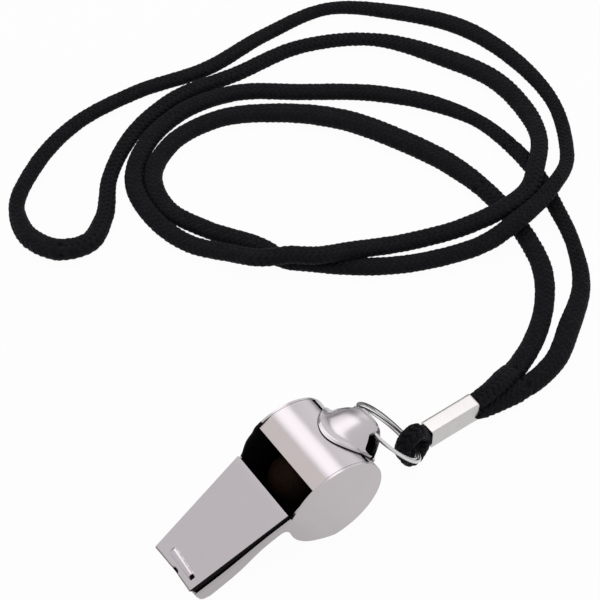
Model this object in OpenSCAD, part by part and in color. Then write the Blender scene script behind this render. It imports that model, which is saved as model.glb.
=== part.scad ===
// Metal pea whistle on a split ring, with a crimped ferrule and a flat braided neck cord.
// It rests on its drum and on the lower lip of its mouth. The mouth points to -X and the
// drum's axis runs along Y. The origin is on the floor, under the middle of whistle and ring.

/* [Drum] */
// Outer diameter of the drum
drum_d = 22; // [20:0.5:26]
// Width over the two side plates
body_w = 19.7; // [17:0.1:24]
// Thickness of the side plates
plate_t = 0.5; // [0.4:0.05:0.8]
// Thickness of the bands round the drum
band_t = 0.5; // [0.4:0.05:0.7]
// Angle of the seam between the bands, up from the drum's rear
seam_angle = 22; // [18:1:26]
// Width of the open groove at the seam
seam_gap = 0.5; // [0.3:0.1:0.8]
// Length of the lap under the upper band
lap_l = 2.2; // [1.5:0.1:3]

/* [Sound window] */
// Reach of the blowing edge ahead of the drum's axis
edge_reach = 1.2; // [0.5:0.1:2]
// Drop of the blowing edge below the drum's top
edge_drop = 0.5; // [0.4:0.05:0.7]
// Length of the flat strip behind the blowing edge
edge_flat_l = 3.5; // [2.5:0.1:4.5]
// Thickness of the blowing edge
edge_t = 0.22; // [0.15:0.01:0.3]
// Length of the window along the whistle
window_l = 7; // [5:0.1:8]

/* [Mouthpiece] */
// Reach of the mouth ahead of the drum
mouth_l = 21.8; // [16:0.1:28]
// Width of the cover at the mouth
mouth_w = 12.4; // [10:0.1:15]
// Set-in of the cover's corners at the window, from the side plates' inner faces
cover_inset = 0.65; // [0.4:0.05:1.2]
// Height of the mouthpiece at the mouth
mouth_h = 6.3; // [5.6:0.1:7]
// Drop of the cover below the drum's top
cover_drop = 2.1; // [1.8:0.1:3]
// Thickness of the cover
cover_t = 0.5; // [0.4:0.05:0.7]
// Height of the cover's rim that shows above the cheeks
rim_h = 1.8; // [1.2:0.1:2]
// Height of the windway
windway_h = 1.4; // [1:0.1:1.6]
// Rise of the underside from the mouth to the drum
belly_rise = 0.8; // [0.4:0.1:1.2]
// Radius of the lower lip
lip_r = 2; // [1.5:0.1:2.5]

/* [Tooth bead] */
// Length of the bead across the cover
bead_l = 6.6; // [5:0.1:8]
// Width of the bead
bead_w = 1.6; // [1.2:0.1:2]
// Height of the bead above the cover
bead_h = 0.5; // [0.3:0.05:0.7]
// Distance of the bead's middle from the mouth
bead_in = 2.5; // [2:0.1:3]
// Length of the opening at the bead's end
bead_slot = 0.7; // [0.4:0.1:1]
// Width of the nick in the cover's front edge
nick_w = 2.3; // [1.5:0.1:3]
// Depth of the nick
nick_d = 0.45; // [0.2:0.05:0.7]

/* [Pea] */
// Diameter of the cork pea
pea_d = 10.5; // [9:0.1:11]
// Sideways place of the pea in the drum
pea_y = 2.8; // [-3:0.1:3]
// Angle of the pea ahead of the drum's lowest point
pea_angle = 24; // [0:1:60]

/* [Lug] */
// Angle of the lug's split, up from the drum's rear
lug_angle = 4; // [0:1:8]
// Sideways place of the lug
lug_y = -1.4; // [-2:0.1:0]
// Reach of the lug's flange along the drum, from the split
flange_reach = 8; // [7:0.1:8.5]
// Width of the lug's flange
flange_w = 14.4; // [13:0.1:15]
// Shift of the flange along the drum's axis, from the dome's middle
flange_shift = 0.8; // [0:0.1:1]
// Reach of the dome along the drum, from the split
dome_reach = 5.8; // [5:0.1:6.5]
// Width of the dome at its foot
dome_w = 12.8; // [11:0.1:13]
// Width of the dome's round crown
crown_w = 10.4; // [9:0.1:11]
// Depth of the crown's rounding, down from its top
crown_deep = 3; // [2.5:0.1:3.5]
// Reach of the crown's rounding along the drum, from the split
crown_reach = 2; // [1.6:0.1:2.4]
// Width of the crown's strap between the ring's openings
strap_w = 6; // [5:0.1:6]
// Height of the dome above the drum
dome_h = 5.9; // [5.7:0.1:6.5]
// Thickness of the lug's sheet
lug_t = 0.5; // [0.4:0.05:0.6]
// Gap at the split between the two cups
split_gap = 0.8; // [0.5:0.1:1.2]
// Radius of the ring's openings at the lug's two ends
eye_r = 3; // [2.9:0.05:3.3]

/* [Split ring] */
// Diameter of the ring to the middle of its wire
ring_d = 16.5; // [16:0.1:17]
// Diameter of the wire
wire_d = 0.8; // [0.6:0.05:1.1]
// Sideways place of the ring
ring_y = -2.2; // [-2.3:0.1:-1]
// Height of the ring's hinge above the drum's surface
hinge_h = 3.8; // [3.5:0.1:3.8]
// Slope of the ring below the horizontal
ring_slope = 51.2; // [49:0.1:53]

/* [Ferrule] */
// Length of the ferrule
ferrule_l = 12.5; // [9:0.5:13]
// Width of the ferrule
ferrule_w = 3.4; // [3:0.1:4]
// Height of the ferrule
ferrule_h = 5.6; // [5.2:0.1:6.4]
// Wall of the ferrule
ferrule_t = 0.4; // [0.3:0.05:0.5]
// Radius of the ferrule's edges
ferrule_r = 0.5; // [0.45:0.05:0.8]
// Distance from the ring's far wire to the ferrule
ferrule_out = 5.3; // [5:0.1:7]
// Sideways place of the ferrule
clip_y = -2.9; // [-3.2:0.1:-2.2]

/* [Cord] */
// Width of the flat braid
cord_w = 4.2; // [3.6:0.1:4.4]
// Thickness of the braid
cord_t = 3; // [2.6:0.1:3]
// Width of the braid in its loop round the ring
loop_w = 4.6; // [4:0.1:5]
// Thickness of the braid in its loop round the ring
loop_t = 2.7; // [2.4:0.1:2.9]
// Reach of the loop's middle line, from the ring's far wire
loop_reach = 2.4; // [2.2:0.1:2.8]
// Rise of the loop's middle line over the ring's far wire
loop_rise = 2.5; // [2.3:0.1:3]
// Shift of the loop's front towards the right side plate
loop_lean = 2.4; // [1:0.1:2.6]

/* [Hidden] */
// Overrun of every cut
over = 1;
// Film of solder between joined sheets
joint_gap = 0.05;
// Play of the pea under the lap
pea_play = 0.1;
// Share of a wire's diameter between the ring's two turns
turn_share = 0.96;
nickel = "gainsboro";
round_fn = 96;
small_fn = 32;

// Drum and bands
drum_r = drum_d / 2;
band_in = drum_r - band_t;
plate_in = body_w / 2 - plate_t;
cover_w = 2 * (plate_in - cover_inset);
lap_t = band_t * 0.8;
lap_in = band_in - joint_gap - lap_t;
seam_low = seam_angle - seam_gap / drum_r * 180 / PI;
lap_sweep = lap_l / band_in * 180 / PI;
// Where the flat strip behind the blowing edge leaves the round
crease_x = edge_flat_l - edge_reach;
crease_angle = acos(crease_x / drum_r);
edge_z = drum_r - edge_drop;

// Mouthpiece, in the whistle's own frame: x to the rear, z up from the drum's axis
mouth_x = -(drum_r + mouth_l);
cover_x = -(edge_reach + window_l);
cover_z = drum_r - cover_drop;
cheek_z = cover_z - rim_h;
floor_z = cover_z - cover_t - windway_h;
belly_z = cover_z - mouth_h;
lip_x = mouth_x + lip_r;
lip_z = belly_z + lip_r;
belly_root_z = belly_z + belly_rise;
belly_root_x = -sqrt(drum_r * drum_r - belly_root_z * belly_root_z);
// Where the side plates start to close in towards the mouth
fold_x = -drum_r * 0.46;
// The whistle tips forward until the lower lip touches the floor
tilt = atan2(lip_z, -lip_x) + asin((drum_r - lip_r) / norm([lip_x, lip_z]));

// Lug
lug_seat = drum_r + joint_gap;
hinge_r = drum_r + hinge_h;
// Relief for the ring's wire inside the strap's ends
relief_r = 2 * wire_d;
relief_l = 2.6 * wire_d;

// Ring
wire_r = wire_d / 2;
turn_shift = wire_d * turn_share / 2;
ring_r = ring_d / 2;
ring_dir = [cos(ring_slope), 0, -sin(ring_slope)];
hinge_at = [hinge_r * cos(lug_angle + tilt), ring_y, drum_r + hinge_r * sin(lug_angle + tilt)];
ring_at = hinge_at + ring_r * ring_dir;
far_wire = hinge_at + ring_d * ring_dir;

// Place of the origin: the middle of the whistle and its ring, on the floor
low_x = mouth_x * cos(tilt) - cover_z * sin(tilt);
high_x = far_wire[0] + wire_r + turn_shift * sin(ring_slope);
low_y = ring_y - ring_r - wire_r;
middle = [(low_x + high_x) / 2, (low_y + body_w / 2) / 2, 0];

// Pea
pea_r = pea_d / 2;
pea_orbit = lap_in - pea_play - pea_r;

// Ferrule and the loop of cord in it
ferrule_x = far_wire[0] + ferrule_out;
ferrule_end = ferrule_x + ferrule_l;
leg_t = (ferrule_h - 2 * ferrule_t - 3 * joint_gap) / 2;
leg_low = ferrule_t + joint_gap + leg_t / 2;
leg_high = ferrule_h - ferrule_t - joint_gap - leg_t / 2;
leg_w = ferrule_w - 2 * ferrule_t - 2 * joint_gap;

// Cord. A route's points lie in the whistle's frame before the origin is placed: x and y
// along the floor from under the drum's axis, z up. The first and last point of each route
// belong to its neighbour and only steer the ends.
cord_sides = 8;
ring_step = 14;
stub_right = [54, -4.7, 1.6];
stub_left = [54, -0.3, 1.7];
lead_right_route = [
    [47.5, -4.1, 1.6], stub_right, [63.6, -3.2, 1.6], [72.6, 2.3, 1.6], [81.7, 10, 1.6],
    [88.8, 20.3, 1.6], [93.3, 32, 1.6], [95.4, 43, 1.6], [96, 52, 1.6], [94.5, 62.5, 1.6]
];
lead_left_route = [
    [47.5, -1.6, 2.9], stub_left, [62.7, 2.4, 1.6], [71.7, 10.1, 1.6], [77.3, 18.6, 1.6],
    [80.7, 28, 1.6], [81.3, 37, 1.6], [82, 46, 1.6], [80.8, 54.5, 1.6]
];
neck_right_route = [
    [95.4, 43, 1.6], [96, 52, 1.6], [94.5, 62.5, 1.6], [89.6, 73.5, 1.6], [80.5, 84.3, 1.6],
    [65.5, 95, 1.6], [52, 103.6, 1.6], [40, 105.6, 1.6], [26.5, 102.4, 1.6], [16.9, 94, 1.6],
    [14.5, 82.5, 1.6], [17, 71.5, 1.6], [23.3, 62.7, 3.2], [28.4, 57.5, 5], [33.6, 54.2, 5.2],
    [39, 52.2, 4.2], [46, 48.8, 2.2], [58, 41.8, 1.7], [70, 38, 3.6], [81, 36.8, 5.1],
    [88, 38.6, 5], [95.2, 42.5, 5.1], [101.8, 48.4, 3.6], [106.2, 58, 1.7], [106.4, 71, 1.6],
    [101.2, 84.5, 1.6], [90.5, 98.4, 1.6], [75, 107.8, 1.6], [57, 110.8, 1.6], [40, 110.7, 1.6],
    [26.5, 107, 1.6], [13.6, 98.8, 1.6], [5, 88.6, 1.6], [-1, 84.9, 1.6], [-7.4, 86.2, 1.6],
    [-11, 93.2, 1.6]
];
neck_left_route = [
    [-1, 84.9, 1.6], [-7.4, 86.2, 1.6], [-11, 93.2, 1.6], [-9, 102, 1.6], [1, 111.7, 1.6],
    [15, 117.6, 1.6], [33, 117.9, 1.6], [52, 116.6, 1.6], [70.5, 117.2, 1.6], [88, 113.9, 1.6],
    [101, 104.2, 1.6], [111, 90, 1.6], [115.2, 72, 1.6], [113, 56, 1.6], [107.4, 45.2, 1.8],
    [101.4, 38.8, 3.4], [94.5, 35.4, 5.1], [88, 33.6, 5], [81, 31.8, 5.1], [72, 31.6, 3.6],
    [61, 34.3, 1.7], [49.4, 39.9, 1.6], [40.6, 45.4, 1.6], [36, 50, 1.6], [33.6, 54.5, 1.6],
    [30.1, 60.7, 1.6], [23.1, 72, 1.6], [19.5, 82.4, 1.6], [22, 92.3, 1.6], [30.6, 98.3, 1.6],
    [44, 99.6, 1.6], [58, 92.8, 1.6], [69, 82.8, 1.6], [75.8, 69, 1.6], [80.8, 54.5, 1.6],
    [82, 46, 1.6], [81.3, 37, 1.6]
];

function unit(v) = v / norm(v);
// Place between the ferrule's end and a stub's end, by shares of the way along each axis
function fan(stub, leg_z, way_share) =
    let (from = [ferrule_end, clip_y, leg_z])
    [for (k = [0 : 2]) from[k] + way_share[k] * (stub[k] - from[k])];
function polar(r, a) = [r * cos(a), r * sin(a)];
// Half width of the cover at a place along the mouthpiece, and of the room between the cheeks
function cover_half(x) = mouth_w / 2 + (cover_w - mouth_w) / 2 * (x - mouth_x) / (cover_x - mouth_x);
function room_half(x) = cover_half(x) + joint_gap;

// Steer of a smooth curve at its point i
function steer(p, i) =
    let (a = p[i] - p[i - 1], b = p[i + 1] - p[i])
    (a * norm(b) / norm(a) + b * norm(a) / norm(b)) / (norm(a) + norm(b));
// Point and direction on the smooth curve between points i and i + 1
function curve_at(p, i, t) =
    let (s = norm(p[i + 1] - p[i]), m = s * steer(p, i), n = s * steer(p, i + 1))
    p[i] * (2 * t ^ 3 - 3 * t ^ 2 + 1) + m * (t ^ 3 - 2 * t ^ 2 + t)
    + p[i + 1] * (3 * t ^ 2 - 2 * t ^ 3) + n * (t ^ 3 - t ^ 2);
function curve_dir(p, i, t) =
    let (s = norm(p[i + 1] - p[i]), m = s * steer(p, i), n = s * steer(p, i + 1))
    unit((p[i] - p[i + 1]) * (6 * t ^ 2 - 6 * t) + m * (3 * t ^ 2 - 4 * t + 1) + n * (3 * t ^ 2 - 2 * t));
// Stations along a route: each is a point and a direction
function stations(p) = [
    for (i = [1 : len(p) - 3])
        let (n = max(1, round(norm(p[i + 1] - p[i]) / ring_step)))
            for (k = [0 : n - 1]) [curve_at(p, i, k / n), curve_dir(p, i, k / n)],
    [p[len(p) - 2], unit(steer(p, len(p) - 2))]
];
// One ring of a flat tube: side is the way its width points
function tube_ring(at, side, up, w, t) = [
    for (k = [0 : cord_sides - 1])
        let (a = 360 * (k + 0.5) / cord_sides)
            at + side * cos(a) * w / 2 / cos(180 / cord_sides) + up * sin(a) * t / 2 / cos(180 / cord_sides)
];
function tube_faces(rings) = [
    for (k = [1 : cord_sides - 2]) [0, k, k + 1],
    for (r = [0 : rings - 2], k = [0 : cord_sides - 1])
        let (a = r * cord_sides + k, b = r * cord_sides + (k + 1) % cord_sides)
            each [[a, a + cord_sides, b], [b, a + cord_sides, b + cord_sides]],
    for (k = [1 : cord_sides - 2])
        let (z = (rings - 1) * cord_sides) [z, z + k + 1, z + k]
];

// Puts a piece of the whistle's own frame at its tipped place over the floor
module tipped() {
    translate([0, 0, drum_r])
        rotate([0, -tilt, 0])
            children();
}

module on_floor() {
    translate(-middle)
        children();
}

// Extrudes an outline drawn in x and z across the whistle
module across(w) {
    rotate([90, 0, 0])
        linear_extrude(w, center = true)
            children();
}

module slice(from, to, r) {
    steps = 8;
    polygon([[0, 0], for (k = [0 : steps]) polar(r, from + (to - from) * k / steps)]);
}

module arc_strip(r_in, r_out, from, to) {
    intersection() {
        difference() {
            circle(r_out, $fn = round_fn);
            circle(r_in, $fn = round_fn);
        }
        slice(from, to, 2 * r_out);
    }
}

// Outline of the mouthpiece below a height, drawn in by an inset
module mouth_outline(top, inset) {
    steps = 6;
    polygon([
        [0, top],
        [mouth_x + inset, top],
        for (k = [0 : steps])
            [lip_x, lip_z] + polar(lip_r - inset, 180 + 90 * k / steps),
        [belly_root_x, belly_root_z + inset],
        [0, belly_root_z + inset]
    ]);
}

// Plan of the room between the side plates, drawn in by an inset
module room_plan(inset) {
    half = [
        [drum_r + over, plate_in - inset],
        [fold_x, plate_in - inset],
        [cover_x, room_half(cover_x) - inset],
        [mouth_x - over, room_half(mouth_x - over) - inset]
    ];
    polygon(concat(half, [for (k = [len(half) - 1 : -1 : 0]) [half[k][0], -half[k][1]]]));
}

module plan_prism(inset) {
    translate([0, 0, -drum_d])
        linear_extrude(2 * drum_d)
            room_plan(inset);
}

module side_outline() {
    circle(drum_r, $fn = round_fn);
    mouth_outline(cheek_z, 0);
}

module side_plate(side) {
    color(nickel)
        on_floor()
            tipped()
                intersection() {
                    across(body_w)
                        side_outline();
                    difference() {
                        plan_prism(-plate_t);
                        plan_prism(0);
                    }
                    translate([-drum_d * 2, side > 0 ? 0 : -body_w, -drum_d])
                        cube([drum_d * 4, body_w, drum_d * 2]);
                }
}

module side_plate_left() {
    side_plate(1);
}

module side_plate_right() {
    side_plate(-1);
}

// Flat strip that ends in the blowing edge
module edge_strip() {
    back = crease_angle - 2;
    polygon([
        polar(drum_r, back),
        polar(drum_r, crease_angle),
        [-edge_reach, edge_z],
        [-edge_reach, edge_z - edge_t],
        [-edge_reach + 3 * band_t, edge_z - band_t * 0.8],
        polar(band_in, crease_angle),
        polar(drum_r - band_t / 2, back)
    ]);
}

module upper_band() {
    color(nickel)
        on_floor()
            tipped()
                across(2 * (plate_in - joint_gap)) {
                    arc_strip(band_in, drum_r, seam_angle, crease_angle);
                    edge_strip();
                }
}

module lower_band_outline() {
    belly_angle = atan2(belly_root_z, belly_root_x);
    difference() {
        circle(drum_r, $fn = round_fn);
        circle(band_in, $fn = round_fn);
        slice(seam_low, belly_angle, 2 * drum_r);
    }
    // The lap steps down under the upper band
    arc_strip(lap_in, band_in + joint_gap, seam_low - lap_sweep, seam_low);
    arc_strip(lap_in, lap_in + lap_t, seam_low - joint_gap, seam_angle + lap_sweep);
    // Underside, lower lip and front wall of the mouthpiece
    difference() {
        mouth_outline(floor_z - cover_t - joint_gap, 0);
        mouth_outline(floor_z, band_t);
        translate([0, drum_r])
            circle(drum_r, $fn = small_fn);
        circle(band_in, $fn = round_fn);
    }
}

module lower_band() {
    color(nickel)
        on_floor()
            tipped()
                intersection() {
                    across(body_w)
                        lower_band_outline();
                    plan_prism(joint_gap);
                }
}

// Plan of the cover, drawn in by an inset
module cover_plan(inset) {
    polygon([
        [cover_x, cover_half(cover_x) - inset],
        [mouth_x, cover_half(mouth_x) - inset],
        [mouth_x, -cover_half(mouth_x) + inset],
        [cover_x, -cover_half(cover_x) + inset]
    ]);
}

module mouthpiece_cover() {
    bead_x = mouth_x + bead_in;
    bead_y = -0.2 * bead_w;
    bead_r = (bead_w * bead_w / 4 + bead_h * bead_h) / (2 * bead_h);
    skirt_z = floor_z - cover_t;
    nick_y = -nick_w / 4;
    color(nickel)
        on_floor()
            tipped()
                difference() {
                    union() {
                        translate([0, 0, cover_z - cover_t])
                            linear_extrude(cover_t)
                                cover_plan(0);
                        translate([0, 0, skirt_z])
                            linear_extrude(cover_z - skirt_z - cover_t / 2)
                                difference() {
                                    cover_plan(0);
                                    cover_plan(cover_t);
                                    translate([cover_x - cover_t, -cover_w])
                                        square([over + cover_t, 2 * cover_w]);
                                }
                        intersection() {
                            translate([bead_x, bead_y, cover_z + bead_h - bead_r])
                                rotate([90, 0, 0])
                                    cylinder(h = bead_l, r = bead_r, center = true, $fn = small_fn);
                            translate([bead_x - bead_w, bead_y - bead_l, cover_z - cover_t / 2])
                                cube([2 * bead_w, 2 * bead_l, bead_w]);
                        }
                    }
                    // The bead is a bridge: it is open underneath and at one end
                    translate([bead_x, bead_y - bead_slot, cover_z - cover_t])
                        rotate([90, 0, 0])
                            cylinder(h = bead_l, r = bead_w * 0.3, center = true, $fn = small_fn);
                    translate([bead_x - bead_w / 2, bead_y - bead_l / 2 - bead_slot, cover_z - cover_t - over])
                        cube([bead_w, bead_slot, cover_t + 2 * over]);
                    translate([mouth_x - over, nick_y - nick_w / 2, cover_z - cover_t - over])
                        cube([over + nick_d, nick_w, cover_t + 2 * over]);
                }
}

module windway_floor() {
    ramp_x = cover_x - 2.5 * windway_h;
    end_x = cover_x - cover_t;
    ramp_rise = windway_h * 0.4;
    color(nickel)
        on_floor()
            tipped()
                intersection() {
                    across(body_w)
                        polygon([
                            [mouth_x, floor_z],
                            [mouth_x, floor_z - cover_t],
                            [ramp_x, floor_z - cover_t],
                            [end_x, floor_z - cover_t + ramp_rise],
                            [end_x, floor_z + ramp_rise],
                            [ramp_x, floor_z]
                        ]);
                    plan_prism(2 * joint_gap + cover_t);
                }
}

// The lug's frame: x out from the drum's axis, y along it, z along the drum's surface
module lug_frame() {
    on_floor()
        tipped()
            rotate([0, -lug_angle, 0])
                translate([0, lug_y, 0])
                    children();
}

module dome(inset) {
    steps = 32;
    hull() {
        translate([drum_r - lug_t, 0, 0])
            rotate([90, 0, 90])
                linear_extrude(lug_t * 2)
                    polygon([
                        for (k = [0 : steps - 1])
                            [
                                (dome_w / 2 - inset) * cos(360 * k / steps),
                                (dome_reach - inset) * sin(360 * k / steps)
                            ]
                    ]);
        translate([drum_r + dome_h - crown_deep, 0, 0])
            scale([crown_deep - inset, crown_w / 2 - inset, crown_reach - inset])
                sphere(1, $fn = small_fn);
    }
}

module flange() {
    steps = 48;
    intersection() {
        rotate([90, 0, 0])
            difference() {
                cylinder(h = body_w, r = lug_seat + lug_t, center = true, $fn = round_fn);
                cylinder(h = body_w + over, r = lug_seat, center = true, $fn = round_fn);
            }
        rotate([90, 0, 90])
            linear_extrude(drum_d)
                polygon([
                    for (k = [0 : steps - 1])
                        [
                            flange_shift + flange_w / 2 * cos(360 * k / steps),
                            flange_reach * sin(360 * k / steps)
                        ]
                ]);
    }
}

module lug_half(side) {
    color(nickel)
        lug_frame()
            difference() {
                union() {
                    difference() {
                        flange();
                        dome(lug_t);
                    }
                    difference() {
                        dome(0);
                        dome(lug_t);
                        rotate([90, 0, 0])
                            cylinder(h = body_w, r = lug_seat, center = true, $fn = round_fn);
                    }
                }
                // Only one side of the split is kept
                translate([0, -body_w, side > 0 ? split_gap / 2 - drum_d : -split_gap / 2])
                    cube([drum_d, 2 * body_w, drum_d]);
                // Openings that the ring passes through, relieved inside the strap's ends
                for (s = [-1, 1]) {
                    translate([hinge_r, s * (strap_w + drum_d) / 2, 0])
                        rotate([90, 0, 0])
                            cylinder(h = drum_d, r = eye_r, center = true, $fn = round_fn);
                    translate([hinge_r, s * (strap_w + drum_d - relief_l) / 2, 0])
                        rotate([90, 0, 0])
                            cylinder(h = drum_d, r = relief_r, center = true, $fn = small_fn);
                }
            }
}

module lug_upper() {
    lug_half(1);
}

module lug_lower() {
    lug_half(-1);
}

module cork_pea() {
    color("peru")
        on_floor()
            translate([-pea_orbit * sin(pea_angle), pea_y, drum_r - pea_orbit * cos(pea_angle)])
                sphere(pea_r, $fn = round_fn);
}

module split_ring() {
    color("silver")
        on_floor()
            translate(ring_at)
                rotate([0, ring_slope, 0])
                    for (s = [-1, 1])
                        translate([0, 0, s * turn_shift])
                            rotate_extrude($fn = round_fn)
                                translate([ring_r, 0])
                                    circle(wire_r, $fn = small_fn);
}

module ferrule() {
    flat_w = ferrule_w - 2 * ferrule_r;
    flat_h = ferrule_h - 2 * ferrule_r;
    color("silver")
        on_floor()
            translate([ferrule_x, clip_y, 0])
                rotate([90, 0, 90])
                    linear_extrude(ferrule_l)
                        difference() {
                            union() {
                                translate([-ferrule_w / 2, ferrule_r])
                                    square([ferrule_w, flat_h]);
                                translate([-flat_w / 2, 0])
                                    square([flat_w, ferrule_h]);
                                for (x = [-1, 1], z = [0, 1])
                                    translate([x * flat_w / 2, ferrule_r + z * flat_h])
                                        circle(ferrule_r, $fn = small_fn);
                            }
                            translate([ferrule_t - ferrule_w / 2, ferrule_t])
                                square([ferrule_w - 2 * ferrule_t, ferrule_h - 2 * ferrule_t]);
                        }
}

// Flat tube along the floor
module floor_tube(route) {
    s = stations(route);
    polyhedron(
        points = [
            for (q = s)
                let (side = unit(cross([0, 0, 1], q[1])), up = cross(q[1], side))
                    each tube_ring(q[0], side, up, cord_w, cord_t)
        ],
        faces = tube_faces(len(s)),
        convexity = 10
    );
}

// Loop of the cord through the ferrule and round the ring's far wire. Each station is a
// point, the tube's width there and its thickness there.
module ring_bight() {
    right_near_share = [0.5, 0.55, 0];
    right_far_share = [0.8, 0.9, 0];
    left_near_share = [0.5, 0.25, -0.15];
    left_far_share = [0.8, 0.75, 0.45];
    // From the lower leg to the upper one, out from the far wire: shares of the reach, of the
    // lean, of the rise or else of the drop to the floor, of the width and of the thickness
    loop_shares = [
        [1.31, 0.5, -1, 0.87, 1],
        [0.4, 0.83, -1, 1, 1],
        [-0.52, 1, -0.85, 1, 0.93],
        [-0.98, 0.96, -0.38, 0.96, 0.81],
        [-0.94, 0.83, 0.21, 0.91, 0.81],
        [-0.44, 0.71, 0.81, 0.91, 0.81],
        [0.31, 0.58, 1, 0.91, 0.81],
        [1.06, 0.42, 0.69, 0.87, 0.89],
        [1.5, 0.33, 0.02, 0.74, 0.89]
    ];
    before_x = ferrule_x - 0.4 * leg_t;
    in_x = ferrule_x + cord_t;
    out_x = ferrule_end - cord_t;
    drop = far_wire[2] - loop_t * 0.55;
    half = [
        [stub_right, cord_w, cord_t],
        [fan(stub_right, leg_low, right_far_share), cord_w * 0.88, cord_t * 0.93],
        [fan(stub_right, leg_low, right_near_share), cord_w * 0.8, cord_t * 0.9],
        [[ferrule_end, clip_y, leg_low], leg_w, leg_t],
        [[out_x, clip_y, leg_low], leg_w, leg_t],
        [[in_x, clip_y, leg_low], leg_w, leg_t],
        [[before_x, clip_y, leg_low], leg_w, leg_t]
    ];
    turn = [
        for (q = loop_shares)
            [
                far_wire + [q[0] * loop_reach, -q[1] * loop_lean, q[2] * (q[2] > 0 ? loop_rise : drop)],
                q[3] * loop_w,
                q[4] * loop_t
            ]
    ];
    back = [
        [[before_x, clip_y, leg_high], leg_w, leg_t],
        [[in_x, clip_y, leg_high], leg_w, leg_t],
        [[out_x, clip_y, leg_high], leg_w, leg_t],
        [[ferrule_end, clip_y, leg_high], leg_w, leg_t],
        [fan(stub_left, leg_high, left_near_share), cord_w * 0.8, cord_t * 0.9],
        [fan(stub_left, leg_high, left_far_share), cord_w * 0.88, cord_t * 0.93],
        [stub_left, cord_w, cord_t]
    ];
    s = concat(half, turn, back);
    last = len(s) - 1;
    p = concat([2 * stub_right - lead_right_route[2]], [for (q = s) q[0]], [2 * stub_left - lead_left_route[2]]);
    ends = [unit(steer(lead_right_route, 1)), unit(steer(lead_left_route, 1))];
    color([0.08, 0.08, 0.1])
        on_floor()
            polyhedron(
                points = [
                    for (i = [0 : last])
                        let (
                            d = i == 0 ? -ends[0] : i == last ? ends[1] : unit(steer(p, i + 1)),
                            side = unit([0, 1, 0] - d[1] * d),
                            up = cross(d, side)
                        )
                            each tube_ring(s[i][0], side, up, s[i][1], s[i][2])
                ],
                faces = tube_faces(last + 1),
                convexity = 10
            );
}

module cord_lead_right() {
    color([0.08, 0.08, 0.1])
        on_floor()
            floor_tube(lead_right_route);
}

module cord_lead_left() {
    color([0.08, 0.08, 0.1])
        on_floor()
            floor_tube(lead_left_route);
}

module neck_cord_right() {
    color([0.08, 0.08, 0.1])
        on_floor()
            floor_tube(neck_right_route);
}

module neck_cord_left() {
    color([0.08, 0.08, 0.1])
        on_floor()
            floor_tube(neck_left_route);
}

side_plate_left();
side_plate_right();
upper_band();
lower_band();
mouthpiece_cover();
windway_floor();
lug_upper();
lug_lower();
cork_pea();
split_ring();
ferrule();
ring_bight();
cord_lead_right();
cord_lead_left();
neck_cord_right();
neck_cord_left();
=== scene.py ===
"""Looks of a metal pea whistle on a split ring with a braided neck cord."""

import math

import bmesh
import bpy
from mathutils import Matrix, Vector, noise


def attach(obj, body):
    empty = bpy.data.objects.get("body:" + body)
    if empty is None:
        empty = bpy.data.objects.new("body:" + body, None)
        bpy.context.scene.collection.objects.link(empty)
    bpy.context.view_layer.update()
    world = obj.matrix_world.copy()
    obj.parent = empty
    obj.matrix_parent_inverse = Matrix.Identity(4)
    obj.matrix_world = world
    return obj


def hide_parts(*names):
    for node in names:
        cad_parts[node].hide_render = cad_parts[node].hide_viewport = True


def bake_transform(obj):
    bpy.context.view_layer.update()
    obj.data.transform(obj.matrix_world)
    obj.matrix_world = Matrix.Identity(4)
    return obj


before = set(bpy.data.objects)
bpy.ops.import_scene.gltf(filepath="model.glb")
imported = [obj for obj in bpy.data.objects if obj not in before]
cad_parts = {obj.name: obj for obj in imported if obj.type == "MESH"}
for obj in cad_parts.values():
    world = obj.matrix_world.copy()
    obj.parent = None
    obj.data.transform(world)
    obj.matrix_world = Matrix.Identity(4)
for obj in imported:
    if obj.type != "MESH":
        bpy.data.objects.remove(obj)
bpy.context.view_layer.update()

# From the whistle's frame over the floor, with the drum's axis over x = 0, to the row frame
SHIFT = Vector((0.004756, 0.0005, 0))
TILT = math.radians(25.2926)

# Drum, bands and side plates, in the whistle's own frame
DRUM_R = 0.011
BAND_T = 0.0005
BAND_IN = DRUM_R - BAND_T
PLATE_T = 0.0005
PLATE_IN = 0.00935
GAP = 0.00005
SEAM, SEAM_LOW = 22.6, 16.6
LAP_SWEEP = math.degrees(0.0022 / BAND_IN)
LAP_T = 0.0004
LAP_IN = BAND_IN - GAP - LAP_T
EDGE_X, EDGE_Z, EDGE_T = -0.0012, 0.0105, 0.00022
CREASE_X = 0.0023
# Angles over which the left disc is pressed in, and how far, as a share of its radius
DENT_FROM, DENT_TO, DENT_SLOPE, DENT_DEEP = 98, 143, 10, 0.055

# Mouthpiece
MOUTH_X, COVER_X, FOLD_X = -0.0328, -0.0082, -0.00506
MOUTH_HALF, COVER_HALF = 0.0062, 0.0087
COVER_Z, COVER_T = 0.0089, 0.0005
CHEEK_Z, FLOOR_Z = 0.0071, 0.007
CHEEK_FALL, FALL_FROM, FALL_TO = 0.00095, -0.012, -0.028
BRIM_LOW = 0.00035
LIP_X, LIP_Z, LIP_R = -0.0308, 0.0044, 0.002
LIP_START, LIP_END = 180, 262
BELLY_ROOT = math.degrees(math.atan2(0.00305, -0.01057))
# Underside of the mouthpiece, from the notch at the drum to the lip
BELLY = (
    (-0.01066, 0.0036), (-0.01082, 0.0043), (-0.0111, 0.00485), (-0.01165, 0.00515), (-0.0128, 0.0052),
    (-0.0148, 0.0051), (-0.0168, 0.0049), (-0.0188, 0.0044), (-0.0208, 0.0038), (-0.023, 0.0032),
    (-0.0255, 0.0028), (-0.028, 0.0026), (-0.0296, 0.0025),
)
RAMP_L, RAMP_RISE = 0.0035, 0.00056
SKIRT_Z = FLOOR_Z - COVER_T
SKIRT_IN = 0.0003

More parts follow.
